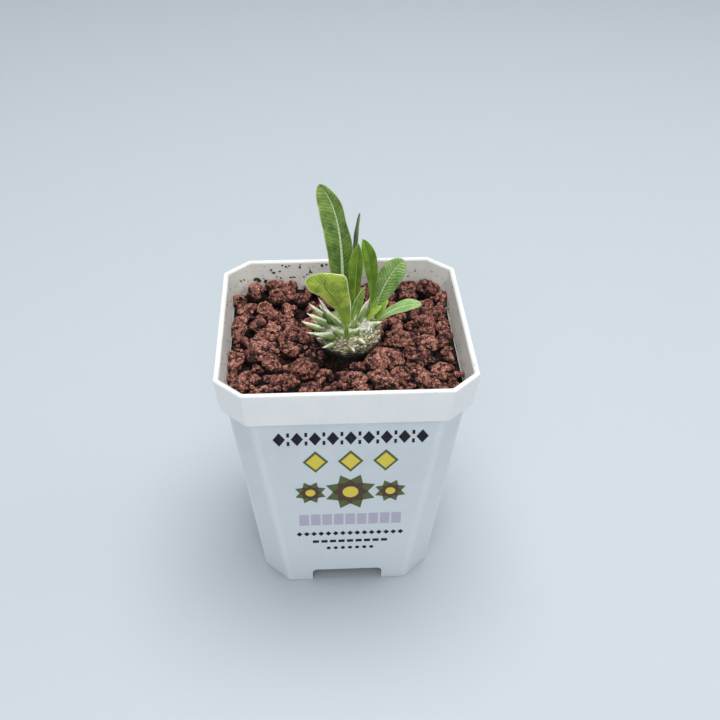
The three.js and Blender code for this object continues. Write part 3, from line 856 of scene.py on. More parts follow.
# The stones that show best: middle and radius
STONES = [
    (-11.3, -13, 68.5, 3.6),
    (11.2, -8.8, 68.4, 4.3),
    (4.2, -10.6, 67.9, 2.3),
    (26.4, -13.1, 68.5, 3.9),
    (-15, -1.5, 68.5, 3.2),
    (-16.5, -18, 68.5, 3.2),
    (-22.4, 20, 68.8, 2.8),
    (-28.4, 20.8, 68.9, 2.9),
    (-25.5, 27.4, 70.4, 3),
    (-30.6, 25.2, 69.2, 2.3),
    (-19.3, 26.5, 69.2, 2.6),
    (-11.6, 26, 68.7, 2.4),
    (27, 27.6, 70.6, 3.1),
    (30.6, 23.2, 69.2, 2.3),
    (23.6, 15, 68.5, 3.2),
    (17, 15.3, 68.5, 2.7),
    (28.6, 1, 68.5, 3),
    (15.8, 1.5, 68.5, 3.2),
    (-17.6, 4.3, 68.5, 2.8),
    (-29.1, 3.6, 68.5, 2.6),
    (-22.8, 5.6, 68.5, 2.4),
    (-19.9, -9.9, 68.5, 2.4),
    (-26.2, -14.6, 68.5, 2.7),
    (2.7, -17, 68.3, 3.1),
    (10.7, -18.2, 68.5, 2.8),
    (22.4, -18.4, 68.5, 2.9),
    (-28.4, -19.2, 68.5, 2.8),
    (22.8, -4.4, 68.5, 2.2),
    (29.6, 9, 68.5, 2.4),
    (-24.4, 11, 68.5, 2.4),
    (-29.4, 14.3, 68.5, 2.4),
    (-9.2, -1.8, 68.2, 1.9),
    (-5.6, -12.4, 68, 1.9),
    (29.2, 17.4, 68.5, 2.3),
]

# Where the stones are darkest: middle and reach
DARK_PATCH = (15.0, 27.0, 7.0)

# The hollow that the stones leave in front of the stem
HOLLOW_MIDDLE = (-1.8, -8.2)
HOLLOW_HALF_SIZES = (4.6, 3.6)
HOLLOW_DEPTH = 2.9
HOLLOW_RING = 5.4

# The finer grit: how many grains are tried, and their radii
GRIT_TRIES = 700
GRIT_LEAST = 0.4
GRIT_SPREAD = 0.9
GRIT_SEED = 9011

# Tints past 0..1 stand for the few grains of another colour
BLACK_TINT = -1.0
ORANGE_TINT = 2.0
OLIVE_TINT = 3.0


def bank(y):
    """How far the bed rises toward the back."""
    return BACK_RISE * np.maximum(0, y / STONE_EDGE) ** 3


def stone_places():
    """The CAD's stones, by the same draws."""
    draw = draws_from(STONE_SEED)
    stones = list(STONES)
    for pitch, cells, least, spread, height, crowding in SOWINGS:
        for row in range(-cells, cells + 1):
            for column in range(-cells, cells + 1):
                x = (column + SOWING_SHAKE * (draw() - 0.5)) * pitch
                y = (row + SOWING_SHAKE * (draw() - 0.5)) * pitch
                radius = least + spread * draw()
                z = height + bank(y) + HEIGHT_SHAKE * (draw() - 0.5)
                in_pot = max(abs(x), abs(y)) < STONE_EDGE and abs(x) + abs(y) < STONE_CORNER
                off_stem = math.hypot(x - CAUDEX_X, y - CAUDEX_Y) > STEM_RING
                off_hollow = math.hypot(x - HOLLOW_MIDDLE[0], y - HOLLOW_MIDDLE[1]) > HOLLOW_RING
                free = all(
                    math.hypot(s[0] - x, s[1] - y) > crowding * (s[3] + radius) for s in stones
                )
                if in_pot and off_stem and off_hollow and free:
                    stones.append((x, y, z, radius))
    return stones


def kept_in_pot(points, margin=0.05):
    """The points, with those past the pot's inner walls moved back to them."""
    x, y, z = points.T
    in_band = smooth_step(z, LEDGE_TOP - 1.2, LEDGE_TOP)
    band = np.interp(z, [BAND_BOTTOM, POT_HEIGHT], [BAND_HALF, RIM_HALF]) - RIM_WALL
    body = np.interp(z, [0, BAND_BOTTOM], [BASE_HALF, BODY_TOP_HALF]) - BODY_WALL
    half = body + (band - body) * in_band - margin
    corner = BODY_TOP_CORNER + (BAND_CORNER - BODY_TOP_CORNER) * in_band - INSET_CORNER * RIM_WALL
    x, y = np.clip(x, -half, half), np.clip(y, -half, half)
    excess = np.maximum(0, np.abs(x) + np.abs(y) - (2 * half - corner)) / 2
    return np.stack([x - np.sign(x) * excess, y - np.sign(y) * excess, z], axis=1)


def unit_directions(count, draw):
    directions = []
    for _ in range(count):
        height = 2 * draw() - 1
        angle = 2 * math.pi * draw()
        reach = math.sqrt(1 - height * height)
        directions.append((reach * math.cos(angle), reach * math.sin(angle), height))
    return np.array(directions)


def lava_lump(ball, place, radius, draw):
    """A craggy, angular lump of lava, and how much painted shade each of its points takes: deep in its
    surface, underneath and low down.
    """
    directions, faces = ball
    salt = round(draw() * 1000)
    flats = unit_directions(9, draw)
    facing = np.maximum(directions @ flats.T, 0.05)
    reaches = 0.62 + 0.3 * np.array([draw() for _ in flats])
    shape = np.minimum(1.12, (reaches / facing).min(axis=1))
    stretch = 0.84 + 0.32 * np.array([draw(), draw(), draw()])
    surface = directions * (radius * shape)[:, None] * stretch
    share = min(1, radius / 2.4)
    crags = rough_noise(surface / 1.7 + salt, 2, salt)
    ridges = 1 - 2 * np.abs(smooth_noise(surface / 0.7 + salt, salt + 5))
    grains = smooth_noise(surface / 0.38 + salt, salt + 9)
    lift = 0.34 * crags + 0.26 * (ridges - 0.4) + 0.16 * grains
    points = surface + directions * (share * lift)[:, None]
    points = points * (STONE_WIDENING, STONE_WIDENING, STONE_FLATTENING) + place
    # Painted shade: darker in the surface's hollows, on the underside and low among the stones.
    cavity = 1 - smooth_step(lift, -0.34, 0.16)
    under = 1 - smooth_step(directions[:, 2] + 0.25 * crags, -0.15, 0.6)
    buried = 1 - smooth_step(points[:, 2] - bank(points[:, 1]) + 0.5 * crags, 68.1, 70.3)
    return kept_in_pot(points), faces, np.maximum(np.maximum(cavity, under), buried)


def lava_look():
    look = Shader("lava")
    hollow, tint = look.value("hollow"), look.value("tint")
    patchy = look.noise(1.5, detail=4, roughness=0.65)
    even_tint = look.math("MINIMUM", look.math("MAXIMUM", tint, 0.0), 1.0)
    body = look.ramp(
        look.math("MULTIPLY_ADD", patchy, 0.55, look.math("MULTIPLY", even_tint, 0.45)),
        (0.2, paint(116, 68, 58)),
        (0.4, paint(156, 94, 80)),
        (0.58, paint(188, 122, 104)),
        (0.8, paint(218, 154, 134)),
    )
    body = look.mix(look.step(tint, -0.3, -0.7), body, paint(38, 32, 32))
    body = look.mix(look.step(tint, 1.4, 1.6), body, paint(176, 118, 74))
    body = look.mix(look.step(tint, 2.4, 2.6), body, paint(118, 112, 62))
    pits = look.cells(1.7)
    crumbs = look.cells(0.55)
    grit = look.noise(0.45, detail=4, roughness=0.75, distortion=0.5)
    ridge = look.math("MULTIPLY_ADD", crumbs, -0.3, look.math("ADD", grit, 0.1))
    knobs = look.math("MULTIPLY_ADD", look.noise(0.9, detail=4, roughness=0.7), 0.9, look.cells(1.25))
    # Painted highlight on the knobs' tops and the ridges, and painted shade in the grain's low parts,
    # the crevices and the pores.
    crevice = look.step(knobs, 1.0, 1.2)
    crown = look.step(knobs, 0.95, 0.7)
    body = look.over(body, paint(230, 162, 140), crown, 0.36)
    body = look.over(body, paint(240, 184, 160), look.step(ridge, 0.52, 0.6), 0.62)
    body = look.over(body, paint(54, 30, 29), look.step(ridge, 0.49, 0.37), 0.68)
    body = look.over(body, paint(44, 25, 25), crevice, 0.75)
    pores = look.math("MULTIPLY", look.step(pits, 0.26, 0.16), look.step(grit, 0.6, 0.45))
    body = look.over(body, paint(28, 16, 17), pores, 0.7)
    # Painted shade, near black, by the stones' shade value.
    shade = look.step(hollow, 0.3, 0.95)
    body = look.over(body, paint(17, 12, 16), shade, 0.93)
    glints = look.step(look.cells(2.3), 0.06, 0.035)
    body = look.over(body, paint(216, 208, 204), glints, 0.8)
    relief = look.bump(grit, 0.25)
    relief = look.bump(look.math("SUBTRACT", 1.0, crumbs), 0.25, relief)
    relief = look.bump(look.math("SUBTRACT", 1.0, knobs), 0.3, relief)
    look.set(Base_Color=body, Roughness=0.92, Normal=relief, Specular_IOR_Level=0.25)
    return look.material


def even_ring(ring, count):
    """The same outline with its points evenly apart."""
    ring = np.array(ring)
    closed = np.vstack([ring, ring[:1]])
    steps = np.linalg.norm(np.diff(closed, axis=0), axis=1)
    places = np.concatenate([[0], np.cumsum(steps)])
    wanted = np.arange(count) * places[-1] / count
    return np.stack([np.interp(wanted, places, closed[:, axis]) for axis in range(3)], axis=1)


def bed_points():
    """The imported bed: its sides against the pot, and a rough dish-shaped top."""
    count, rows = 220, 44
    gap = FIT_GAP
    sides = [
        body_ring(FLOOR_TOP + gap, BODY_WALL + gap),
        body_ring(LEDGE_TOP - 1.2, BODY_WALL + gap),
        band_ring(LEDGE_TOP + gap, RIM_WALL + gap),
    ]
    rings = [even_ring(ring, count) for ring in sides]
    brim = even_ring(band_ring(BED_TOP, RIM_WALL + gap + BANK_WIDTH), count)
    for row in range(rows):
        share = 1 - row / rows
        ring = brim * (share, share, 1)
        grit = 0.8 * (knob_noise(ring / 1.3, 3) - 0.5) + 0.4 * (knob_noise(ring / 0.6, 8) - 0.5)
        off = (ring[:, :2] - HOLLOW_MIDDLE) / HOLLOW_HALF_SIZES
        dip = HOLLOW_DEPTH * np.exp(-2 * (off * off).sum(axis=1))
        ring[:, 2] += grit * (1 if row else 0) - dip
        rings.append(ring)
    return np.concatenate(rings), loft_faces(len(rings), count)


def surface_height(x, y, stones):
    """The top of the stones at a place, or of the bed between them."""
    top = BED_TOP
    for sx, sy, sz, radius in stones:
        apart = math.hypot(sx - x, sy - y)
        if apart < radius:
            top = max(top, sz + STONE_FLATTENING * math.sqrt(radius * radius - apart * apart))
    return top


def grain_tint(draw):
    chance = draw()
    if chance < 0.08:
        return BLACK_TINT
    if chance > 0.985:
        return OLIVE_TINT
    if chance > 0.975:
        return ORANGE_TINT
    return draw()


def make_gravel():
    look = lava_look()
    stones = stone_places()
    draw = draws_from(GRIT_SEED)
    fine, medium, coarse = icosphere(5), icosphere(4), icosphere(3)
    near, far, small, grit = Heap(), Heap(), Heap(), Heap()
    for x, y, z, radius in stones:
        is_large = radius > LARGE_LUMP
        ball = fine if is_large else medium
        points, faces, hollow = lava_lump(ball, (x, y, z), radius, draw)
        heap = small if not is_large else near if y < 0 else far
        dark = math.hypot(x - DARK_PATCH[0], y - DARK_PATCH[1]) < DARK_PATCH[2]
        heap.add(points, faces, hollow=hollow, tint=draw() * (0.2 if dark else 1.0))
    points, faces = bed_points()
    # The bed under the stones is painted almost black: painted shade between the stones.
    small.add(points, faces, hollow=0.85, tint=0.1)
    for _ in range(GRIT_TRIES):
        x = (2 * draw() - 1) * (STONE_EDGE + 0.6)
        y = (2 * draw() - 1) * (STONE_EDGE + 0.6)
        radius = GRIT_LEAST + GRIT_SPREAD * draw() ** 1.6
        ground = surface_height(x, y, stones)
        chance = draw()
        on_stem = math.hypot(x - CAUDEX_X, y - CAUDEX_Y) < STEM_RING - 1.4
        in_hollow = math.hypot(x - HOLLOW_MIDDLE[0], y - HOLLOW_MIDDLE[1]) < HOLLOW_RING - 1
        in_pot = abs(x) + abs(y) < STONE_CORNER + 1.5
        on_stone = ground > 69.9 and chance > 0.12
        if on_stem or in_hollow or on_stone or not in_pot:
            continue
        height = min(ground, 70.6) + radius * (0.45 if ground < 69.9 else 0.2)
        points, faces, hollow = lava_lump(coarse, (x, y, height), radius, draw)
        grit.add(points, faces, hollow=hollow * 0.85, tint=grain_tint(draw))
    part_of_plant(near.piece("gravel_near", look), "lava_gravel", "lava_gravel")
    part_of_plant(far.piece("gravel_far", look), "lava_gravel")
    part_of_plant(small.piece("gravel_small", look), "lava_gravel")
    part_of_plant(grit.piece("gravel_grit", look), "lava_gravel")


make_gravel()


# The caudex: radius and height up it, its lobes and ridges, and its spines, as in the CAD
CAUDEX_PROFILE = [
    (0.7, 48),
    (2.4, 54),
    (4.2, 61),
    (5.6, 66),
    (7.0, 68.6),
    (8.6, 70.8),
    (9.2, 72.8),
    (8.8, 74.8),
    (7.4, 76.4),
    (5.0, 77.5),
    (2.4, 78.1),
]
LOBE_SHARE = 0.035
LOBE_TURN = 0.7
RIDGE_SHARE = 0.018
RIDGES = 8
SPINES = [
    ((-2.8, 0.1, 76.8), (-6.8, 0.2, 85.2), 1.35),
    ((-3.2, 1.9, 76.2), (-6.3, 2.1, 81.8), 1.3),
    ((-4.2, 2.4, 76), (-9.4, 3, 81.6), 1.5),
    ((-4.6, 0.6, 76), (-10.2, 0.8, 79.8), 1.5),
    ((-6.2, -0.6, 75), (-11.7, -0.8, 78.2), 1.4),
    ((-6.4, -3.2, 74.8), (-10.4, -4.6, 76.9), 1),
    ((-2.6, -4.9, 75.6), (-8.4, -6.8, 77.7), 1.7),
    ((-0.9, -4.9, 75.9), (-3.6, -5.6, 79.3), 1.3),
    ((2, -5, 76.2), (4.6, -6.2, 79.1), 1.4),
    ((2.6, -3.1, 76.8), (3.6, -3.4, 81.7), 1.15),
    ((6.4, -0.4, 75.8), (11.1, -0.8, 77.4), 1.5),
    ((5.7, -2, 76), (6.3, -2.6, 79.9), 1.8),
    ((-3, -6.2, 73.6), (-6.2, -8.4, 74.2), 1),
    ((1.7, -7.6, 73.4), (2.9, -10.2, 73.9), 0.9),
    ((4.3, -6.4, 74.8), (5.9, -8.8, 75.6), 1.1),
    ((4.2, -4, 76), (6.4, -5.2, 78.3), 1.2),
    ((-4.4, -4.4, 75), (-7.6, -6.2, 75.8), 1.1),
    ((5, 0.4, 76.6), (7.5, -0.3, 85.2), 1.6),
]
# One more, which shows in front of the CAD's
FRONT_SPINE = ((-1.0, -1.6, 77.0), (-5.8, -1.7, 83.3), 1.35)
BACK_SPINES = 9
BACK_SPINE_START = 56
BACK_SPINE_STEP = 14

# Each tier of back spines: foot radius, tip radius, foot height, rise to the tip, swelling
BACK_TIERS = [
    (5.6, 10.6, 75, 3.4, 1.2),
    (6.6, 11.2, 72.8, 1.6, 1),
]
CAUDEX_VOXEL = 0.17
SPINE_SIDES = 14
SPINE_FLATNESS = 0.86

# The silvery patches of old skin on the crown: middle and half sizes
SILVER_PATCHES = [
    ((6.3, -2.4, 76.6), (2.3, 3.0, 3.6)),
    ((-2.8, -3.6, 76.8), (2.2, 2.0, 1.3)),
    ((5.6, -4.0, 75.4), (1.5, 1.5, 1.5)),
]


def back_spines():
    spines = []
    for i in range(BACK_SPINES):
        angle = math.radians(BACK_SPINE_START + i * BACK_SPINE_STEP)
        foot_radius, tip_radius, height, rise, swell = BACK_TIERS[i % len(BACK_TIERS)]
        ends = [
            (CAUDEX_X + r * math.cos(angle), CAUDEX_Y + r * math.sin(angle), z)
            for r, z in ((foot_radius, height), (tip_radius, height + rise))
        ]
        spines.append((*ends, swell))
    return spines


def smooth_curve(knots, steps):
    """Points on a smooth curve through the knots, with that many to each stretch."""
    knots = np.array(knots, float)
    padded = np.vstack([2 * knots[0] - knots[1], knots, 2 * knots[-1] - knots[-2]])
    points = []
    for i in range(len(knots) - 1):
        a, b, c, d = padded[i:i + 4]
        for step in range(steps):
            t = step / steps
            points.append(0.5 * (
                2 * b + (c - a) * t + (2 * a - 5 * b + 4 * c - d) * t ** 2
                + (3 * b - a - 3 * c + d) * t ** 3
            ))
    points.append(knots[-1])
    return np.array(points)


def caudex_body():
    sides = 96
    profile = smooth_curve(CAUDEX_PROFILE, 5)
    angles = np.arange(sides) * 2 * math.pi / sides
    rings = []
    for radius, height in profile:
        lobes = LOBE_SHARE * (np.cos(2 * angles + LOBE_TURN) + np.sin(3 * angles))
        ridges = RIDGE_SHARE * np.cos(RIDGES * angles + height)
        reach = radius * (1 + lobes + ridges)
        rings.append(np.stack([
            CAUDEX_X + reach * np.cos(angles),
            CAUDEX_Y + reach * np.sin(angles),
            np.full(sides, height),
        ], axis=1))
    return np.concatenate(rings), loft_faces(len(rings), sides)


def spine_axes(foot, tip):
    """Along the spine, across it on the level, and up from it."""
    ahead = (Vector(tip) - Vector(foot)).normalized()
    across = Vector((0, 0, 1)).cross(ahead).normalized()
    return ahead, across, ahead.cross(across)


def spine_mesh(foot, tip, swell, shape, sides=SPINE_SIDES):
    """A flattened body along the spine: shape has its shares of length and radii."""
    foot, tip = Vector(foot), Vector(tip)
    _, across, up = spine_axes(foot, tip)
    points = []
    for share, wide in shape:
        middle = foot + (tip - foot) * share
        for i in range(sides):
            angle = i * 2 * math.pi / sides
            offset = across * math.cos(angle) + up * (SPINE_FLATNESS * math.sin(angle))
            points.append(middle + offset * wide * swell)
    return points, loft_faces(len(shape), sides)


# A spine's swelling, which is fleshy and blends into the crown, and its sharp point
SWELLING_SHAPE = [(-0.12, 0.9), (0.0, 0.94), (0.15, 0.88), (0.3, 0.76), (0.45, 0.62),
                  (0.6, 0.48), (0.74, 0.34), (0.85, 0.21)]
POINT_SHAPE = [(0.3, 0.4), (0.5, 0.5), (0.64, 0.43), (0.76, 0.31), (0.86, 0.19), (0.94, 0.09),
               (1.0, 0.02)]


def spine_values(points, spines):
    """How far along its nearest spine each point lies, with 0 on the caudex's body, and how far
    round to the spine's upper side."""
    along = np.zeros(len(points))
    crest = np.zeros(len(points))
    for foot, tip, swell in spines:
        up = np.array(spine_axes(foot, tip)[2])
        foot, run = np.array(foot), np.array(tip) - np.array(foot)
        share = np.clip((points - foot) @ run / (run @ run), 0, 1)
        offset = points - foot - share[:, None] * run
        apart = np.linalg.norm(offset, axis=1)
        width = swell * (1.12 - 1.02 * share) + 0.12
        here = smooth_step(apart / width, 1.25, 0.95) * (0.25 + 0.75 * share)
        crest = np.where(here > along, offset @ up / np.maximum(apart, 0.01), crest)
        along = np.maximum(along, here)
    return along, crest


def caudex_look():
    look = Shader("caudex_skin")
    z = look.split(look.place)[2]
    spine, crease = look.value("spine"), look.value("crease")
    silver, crest = look.value("silver"), look.value("crest")
    warp = look.math("MULTIPLY_ADD", look.noise(2.4, detail=4), 0.0042, z)
    warp = look.math("SUBTRACT", warp, 0.0021)
    blotch = look.noise(1.0, detail=4, roughness=0.68)
    fine = look.noise(0.3, detail=3, roughness=0.7)
    cork = look.ramp(
        look.math("MULTIPLY_ADD", fine, 0.4, look.math("MULTIPLY", blotch, 0.6)),
        (0.34, paint(142, 128, 90)),
        (0.43, paint(206, 195, 150)),
        (0.54, paint(242, 233, 194)),
        (0.68, paint(250, 245, 222)),
    )
    sage = look.ramp(
        blotch,
        (0.3, paint(112, 132, 62)),
        (0.5, paint(152, 164, 98)),
        (0.72, paint(204, 206, 162)),
    )
    # The dark lower part is partly the bark's own colour and partly painted shade under the bulge.
    bark_and_shade = look.ramp(
        look.math("MULTIPLY_ADD", fine, 0.5, look.math("MULTIPLY", blotch, 0.5)),
        (0.34, paint(14, 13, 13)),
        (0.5, paint(40, 36, 32)),
        (0.7, paint(104, 92, 74)),
    )
    skin = look.mix(look.step(warp, 0.0756, 0.077), cork, sage)
    skin = look.mix(look.step(warp, 0.0737, 0.0716), skin, bark_and_shade)
    white = look.mix(look.step(fine, 0.4, 0.6), paint(204, 208, 188), paint(250, 248, 234))
    stripe = look.noise(0.5, detail=3, roughness=0.6, vector=look.scaled(look.place, (0.45, 1, 0.6)))
    streaked = look.math("MULTIPLY_ADD", stripe, 0.5, look.math("SUBTRACT", spine, 0.25))
    tip = look.ramp(
        streaked,
        (0.16, paint(88, 118, 44)),
        (0.4, paint(116, 144, 66)),
        (0.66, paint(160, 178, 112)),
        (0.9, paint(250, 244, 222)),
    )
    # Painted highlight along each spine's upper side, and painted shade on its underside.
    lit_edge = look.step(look.math("MULTIPLY_ADD", stripe, 0.5, crest), 0.85, 1.2)
    tip = look.over(tip, paint(250, 246, 226), lit_edge, 0.8)
    shaded_underside = look.step(crest, -0.1, -0.8)
    tip = look.over(tip, paint(84, 96, 50), shaded_underside, 0.45)
    skin = look.mix(look.step(spine, 0.16, 0.34), skin, tip)
    skin = look.mix(look.math("MULTIPLY", silver, look.step(blotch, 0.32, 0.46)), skin, white)
    # Dark cracks, blots and wrinkle troughs, and painted shade in the hollows between the spines.
    skin = look.over(skin, paint(40, 38, 26), crease, 0.84)
    relief = look.bump(fine, 0.1)
    relief = look.bump(stripe, 0.14, relief)
    look.set(Base_Color=skin, Roughness=look.math("MULTIPLY_ADD", fine, 0.3, 0.42), Normal=relief)
    look.set(Subsurface_Weight=0.08, Subsurface_Scale=0.0006)
    return look.material


def make_caudex():
    look = caudex_look()
    spines = SPINES + [FRONT_SPINE] + back_spines()
    core = Heap()
    core.add(*caudex_body())
    for foot, tip, swell in spines:
        core.add(*spine_mesh(foot, tip, swell, SWELLING_SHAPE))
    caudex = core.piece("caudex_body", look)
    remesh = caudex.modifiers.new("join", "REMESH")
    remesh.mode = "VOXEL"
    remesh.voxel_size = CAUDEX_VOXEL * MM
    soften = caudex.modifiers.new("soften", "SMOOTH")
    soften.factor = 0.5
    soften.iterations = 4
    applied(caudex)
    mesh = caudex.data
    points = points_of(mesh)
    normals = np.array([v.vector for v in mesh.vertex_normals])
    along, crest = spine_values(points, spines)
    bare = 1 - smooth_step(along, 0.15, 0.4)
    height = points[:, 2]
    upper = smooth_step(height, 71.6, 73.4) * (1 - smooth_step(height, 76.2, 77.6))
    lower = 1 - smooth_step(height, 72.2, 74)
    bent = points + 0.5 * np.stack([rough_noise(points / 1.2, 2, s) for s in (21, 31, 41)], axis=1)
    scales = knob_noise(bent * (1, 1, 2.4) / 2.1, 5)
    grains = knob_noise(bent * (1, 1, 1.5) / 0.6, 7)
    blots = smooth_step(rough_noise(points * (1, 1, 1.8) / 1.1, 3, 31), 0.25, 0.5)
    waves = np.sin(height * 6.5 + 2.5 * rough_noise(points / 2.2, 2, 3))
    lift = bare * (
        upper * (0.5 * (scales - 0.6) + 0.24 * (grains - 0.5))
        + lower * (0.16 * waves + 0.12 * (grains - 0.5))
    )
    lift += 0.04 * rough_noise(points / 0.9, 2, 11)
    moved = (points + normals * lift[:, None]) * MM
    mesh.vertices.foreach_set("co", moved.ravel())
    cracks = bare * (
        upper * ((1 - smooth_step(scales, 0, 0.2)) + 0.5 * (1 - smooth_step(grains, 0.1, 0.36)))
        + upper * 0.55 * blots
        + lower * 0.5 * (1 - smooth_step(waves, -1, 0))
    )
    # Painted shade in the hollows of the surface.
    shaded_hollows = smooth_step(concavity(mesh, 5), 0.001, 0.009) * (1 - 0.5 * lower)
    silver = np.zeros(len(points))
    for middle, half_sizes in SILVER_PATCHES:
        off = np.linalg.norm((points - middle) / half_sizes, axis=1)
        silver = np.maximum(silver, 1 - smooth_step(off, 0.6, 1.0))
    give_values(
        mesh,
        spine=along,
        crest=crest,
        crease=np.clip(cracks + shaded_hollows, 0, 1),
        silver=silver,
    )
    mesh.shade_smooth()
    part_of_plant(caudex, "caudex_bark", "caudex")
    tips = Heap()
    for foot, tip, swell in spines:
        points, faces = spine_mesh(foot, tip, swell, POINT_SHAPE)
        share = np.repeat([s for s, _ in POINT_SHAPE], SPINE_SIDES)
        round_it = np.sin(np.arange(SPINE_SIDES) * 2 * math.pi / SPINE_SIDES)
        crest = np.tile(round_it, len(POINT_SHAPE))
        tips.add(points, faces, spine=0.25 + 0.75 * share, crest=crest, crease=0.0, silver=0.0)
    part_of_plant(tips.piece("spine_tips", look), "caudex_bark")


make_caudex()


# The leaves: each midrib's curve and the outline round it are the CAD's
LEAF_ROWS = 90
LEAF_COLUMNS = 36
BLADE_THICKNESS = 0.6
MARGIN_THICKNESS = 0.16
MIDRIB_DEPTH = 0.35
LEAST_HALF_WIDTH = 0.1

# bend is the rib's own line, off the leaf's middle by so many millimetres at each share of its
# length. shaded is the half of the blade that is darker, 1 or -1, or 0. base is the colour at
# the stalk, if it isn't light. rib_end is the midrib's colour at its tip, upper the colour that
# the hidden upper face takes, foot_fullness how full the blade is below its widest part, and
# edge_wave how far its right margin waves.
LEAF_DEFAULTS = {"bend": [(0, 0), (1, 0)], "shaded": 0, "skew": 0}
LEAVES = {
    "leaf_tall_back": {
        "path": [(0.3, 3.8, 76.6), (-0.2, 4.6, 90), (1.3, 8, 108), (-6, 10.5, 114.5)],
        "width": 7.3, "widest": 0.6, "fullness": 0.44, "stalk": 0.3,
        "face": (0, -0.9, 0.3), "fold": 12, "skew": 0.34,
        "light": (146, 172, 80), "dark": (74, 110, 48), "rib": (218, 228, 190),
        "rib_width": 1.3, "vein_gap": 1.2, "veins": 0.2, "wave": 0.3, "edge_wave": 0.34,
        "margin": (196, 210, 160), "shaded": 1, "base": (70, 108, 52),
    },
    "leaf_front_left": {
        "path": [(0.8, -1.4, 76.6), (1.0, -3.2, 86), (-5, -8, 93), (-5.4, -7, 97.3)],
        "width": 12, "widest": 0.78, "fullness": 0.62, "foot_fullness": 0.5, "stalk": 0.2,
        "face": (0.1, 0.95, 0.3), "fold": 12, "skew": -0.13,
        # Its light and dark colours are partly painted light: brightened for the light that shines
        # through the blade.
        "light": (230, 250, 86), "dark": (118, 168, 12), "rib": (164, 190, 76),
        "rib_end": (98, 130, 34), "rib_width": 0.8, "vein_gap": 0.75, "veins": 0.6, "wave": 0.3,
        "margin": (252, 250, 210), "base": (128, 178, 26), "upper": (78, 128, 44),
        "bend": [(0, 0), (0.3, 0.4), (0.5, 0.6), (0.7, 1.1), (0.8, 0.6), (0.9, -0.6), (1, -1.4)],
    },
    "leaf_centre": {
        "path": [(3.2, 2, 76.6), (3.1, 2.2, 86), (4, 2.6, 94), (4.4, 3, 100.3)],
        "width": 4.4, "widest": 0.66, "fullness": 0.85, "stalk": 0.36,
        "face": (-0.1, -0.95, 0.3), "fold": 25, "skew": 0.15,
        "light": (138, 170, 52), "dark": (92, 128, 28), "rib": (176, 200, 110),
        "rib_width": 0.4, "vein_gap": 0.9, "veins": 0.2, "wave": 0.1,
        "margin": (150, 182, 88), "shaded": 1, "base": (142, 172, 62),
    },
    "leaf_arched": {
        "path": [(7.9, 3.4, 75.4), (9.2, 4.1, 86), (8.4, 4.8, 94), (5.8, 5, 100.5)],
        "width": 4.4, "widest": 0.68, "fullness": 0.62, "foot_fullness": 1.0, "stalk": 0.2,
        "face": (0.3, -0.85, 0.4), "fold": 15,
        "light": (134, 168, 42), "dark": (82, 124, 18), "rib": (104, 146, 34),
        "rib_width": 0.3, "vein_gap": 1.1, "veins": 0.12, "wave": 0.1,
        "margin": (190, 210, 136), "shaded": 1, "base": (168, 190, 104),
    },
    "leaf_broad_right": {
        "path": [(8.6, 5.2, 74.8), (10.6, 5.9, 82.5), (13.2, 7, 88.8), (17.5, 8, 92.2)],
        "width": 7.1, "widest": 0.66, "fullness": 0.55, "stalk": 0.25,
        "face": (-0.3, -0.8, 0.5), "fold": 12, "skew": -0.08,
        "light": (160, 190, 112), "dark": (98, 136, 66), "rib": (214, 230, 188),
        "rib_width": 0.55, "vein_gap": 1.05, "veins": 0.35, "wave": 0.15,
        "margin": (140, 156, 104),
    },
    "leaf_low_right": {
        "path": [(9.2, 2.6, 74.8), (12.4, 2.5, 79.2), (18, 1.8, 82), (22.2, 1, 81.8)],
        "width": 4.3, "widest": 0.66, "fullness": 0.6, "stalk": 0.3,
        "face": (0, -0.3, 0.95), "fold": 10,
        "light": (160, 194, 122), "dark": (114, 158, 80), "rib": (206, 226, 176),
        "rib_width": 0.5, "vein_gap": 0.95, "veins": 0.25, "wave": 0.12,
        "margin": (204, 200, 152), "base": (168, 198, 132),
    },
    "leaf_narrow_back": {
        "path": [(3.2, 5.2, 76), (3.1, 5.8, 88), (3.2, 7, 98), (4.6, 8, 107)],
        "width": 3.4, "widest": 0.5, "fullness": 0.7, "stalk": 0.3,
        "face": (-0.9, -0.3, 0), "fold": 10,
        "light": (100, 128, 74), "dark": (64, 88, 50), "rib": (150, 172, 120),
        "rib_width": 0.4, "vein_gap": 1.2, "veins": 0.2, "wave": 0.1,
        "margin": (128, 152, 100),
    },
    "leaf_young_right": {
        "path": [(9, 0.6, 74.6), (10.1, 0.8, 78.6), (11.3, 1.3, 81.1), (12.5, 1.9, 83)],
        "width": 2.2, "widest": 0.6, "fullness": 0.7, "stalk": 0.4,
        "face": (-0.6, -0.5, 0.6), "fold": 32,
        "light": (164, 198, 66), "dark": (118, 160, 40), "rib": (196, 216, 120),
        "rib_width": 0.25, "vein_gap": 0.8, "veins": 0.2, "wave": 0.05,
        "margin": (206, 220, 130),
    },
    "leaf_young_centre": {
        "path": [(2.9, -0.5, 77), (3.3, -0.1, 81.5), (4.6, 0.4, 84.7), (6.3, 0.6, 88)],
        "width": 3, "widest": 0.4, "fullness": 0.8, "stalk": 0.5,
        "face": (0.3, -0.9, 0.3), "fold": 28,
        "light": (148, 184, 74), "dark": (104, 146, 46), "rib": (206, 220, 160),
        "rib_width": 0.3, "vein_gap": 0.8, "veins": 0.2, "wave": 0.05,
        "margin": (222, 230, 190),
    },
    "leaf_tiny_front": {
        "path": [(0.7, -7, 75), (0.7, -7.7, 77.6), (0.7, -7.5, 79.3), (0.6, -7.1, 80.8)],
        "width": 1.2, "widest": 0.5, "fullness": 0.8, "stalk": 0.55,
        "face": (0, -0.9, 0.3), "fold": 0,
        "light": (138, 184, 66), "dark": (94, 142, 42), "rib": (156, 190, 96),
        "rib_width": 0.16, "vein_gap": 0.7, "veins": 0.2, "wave": 0.02,
        "margin": (148, 188, 94),
    },
}


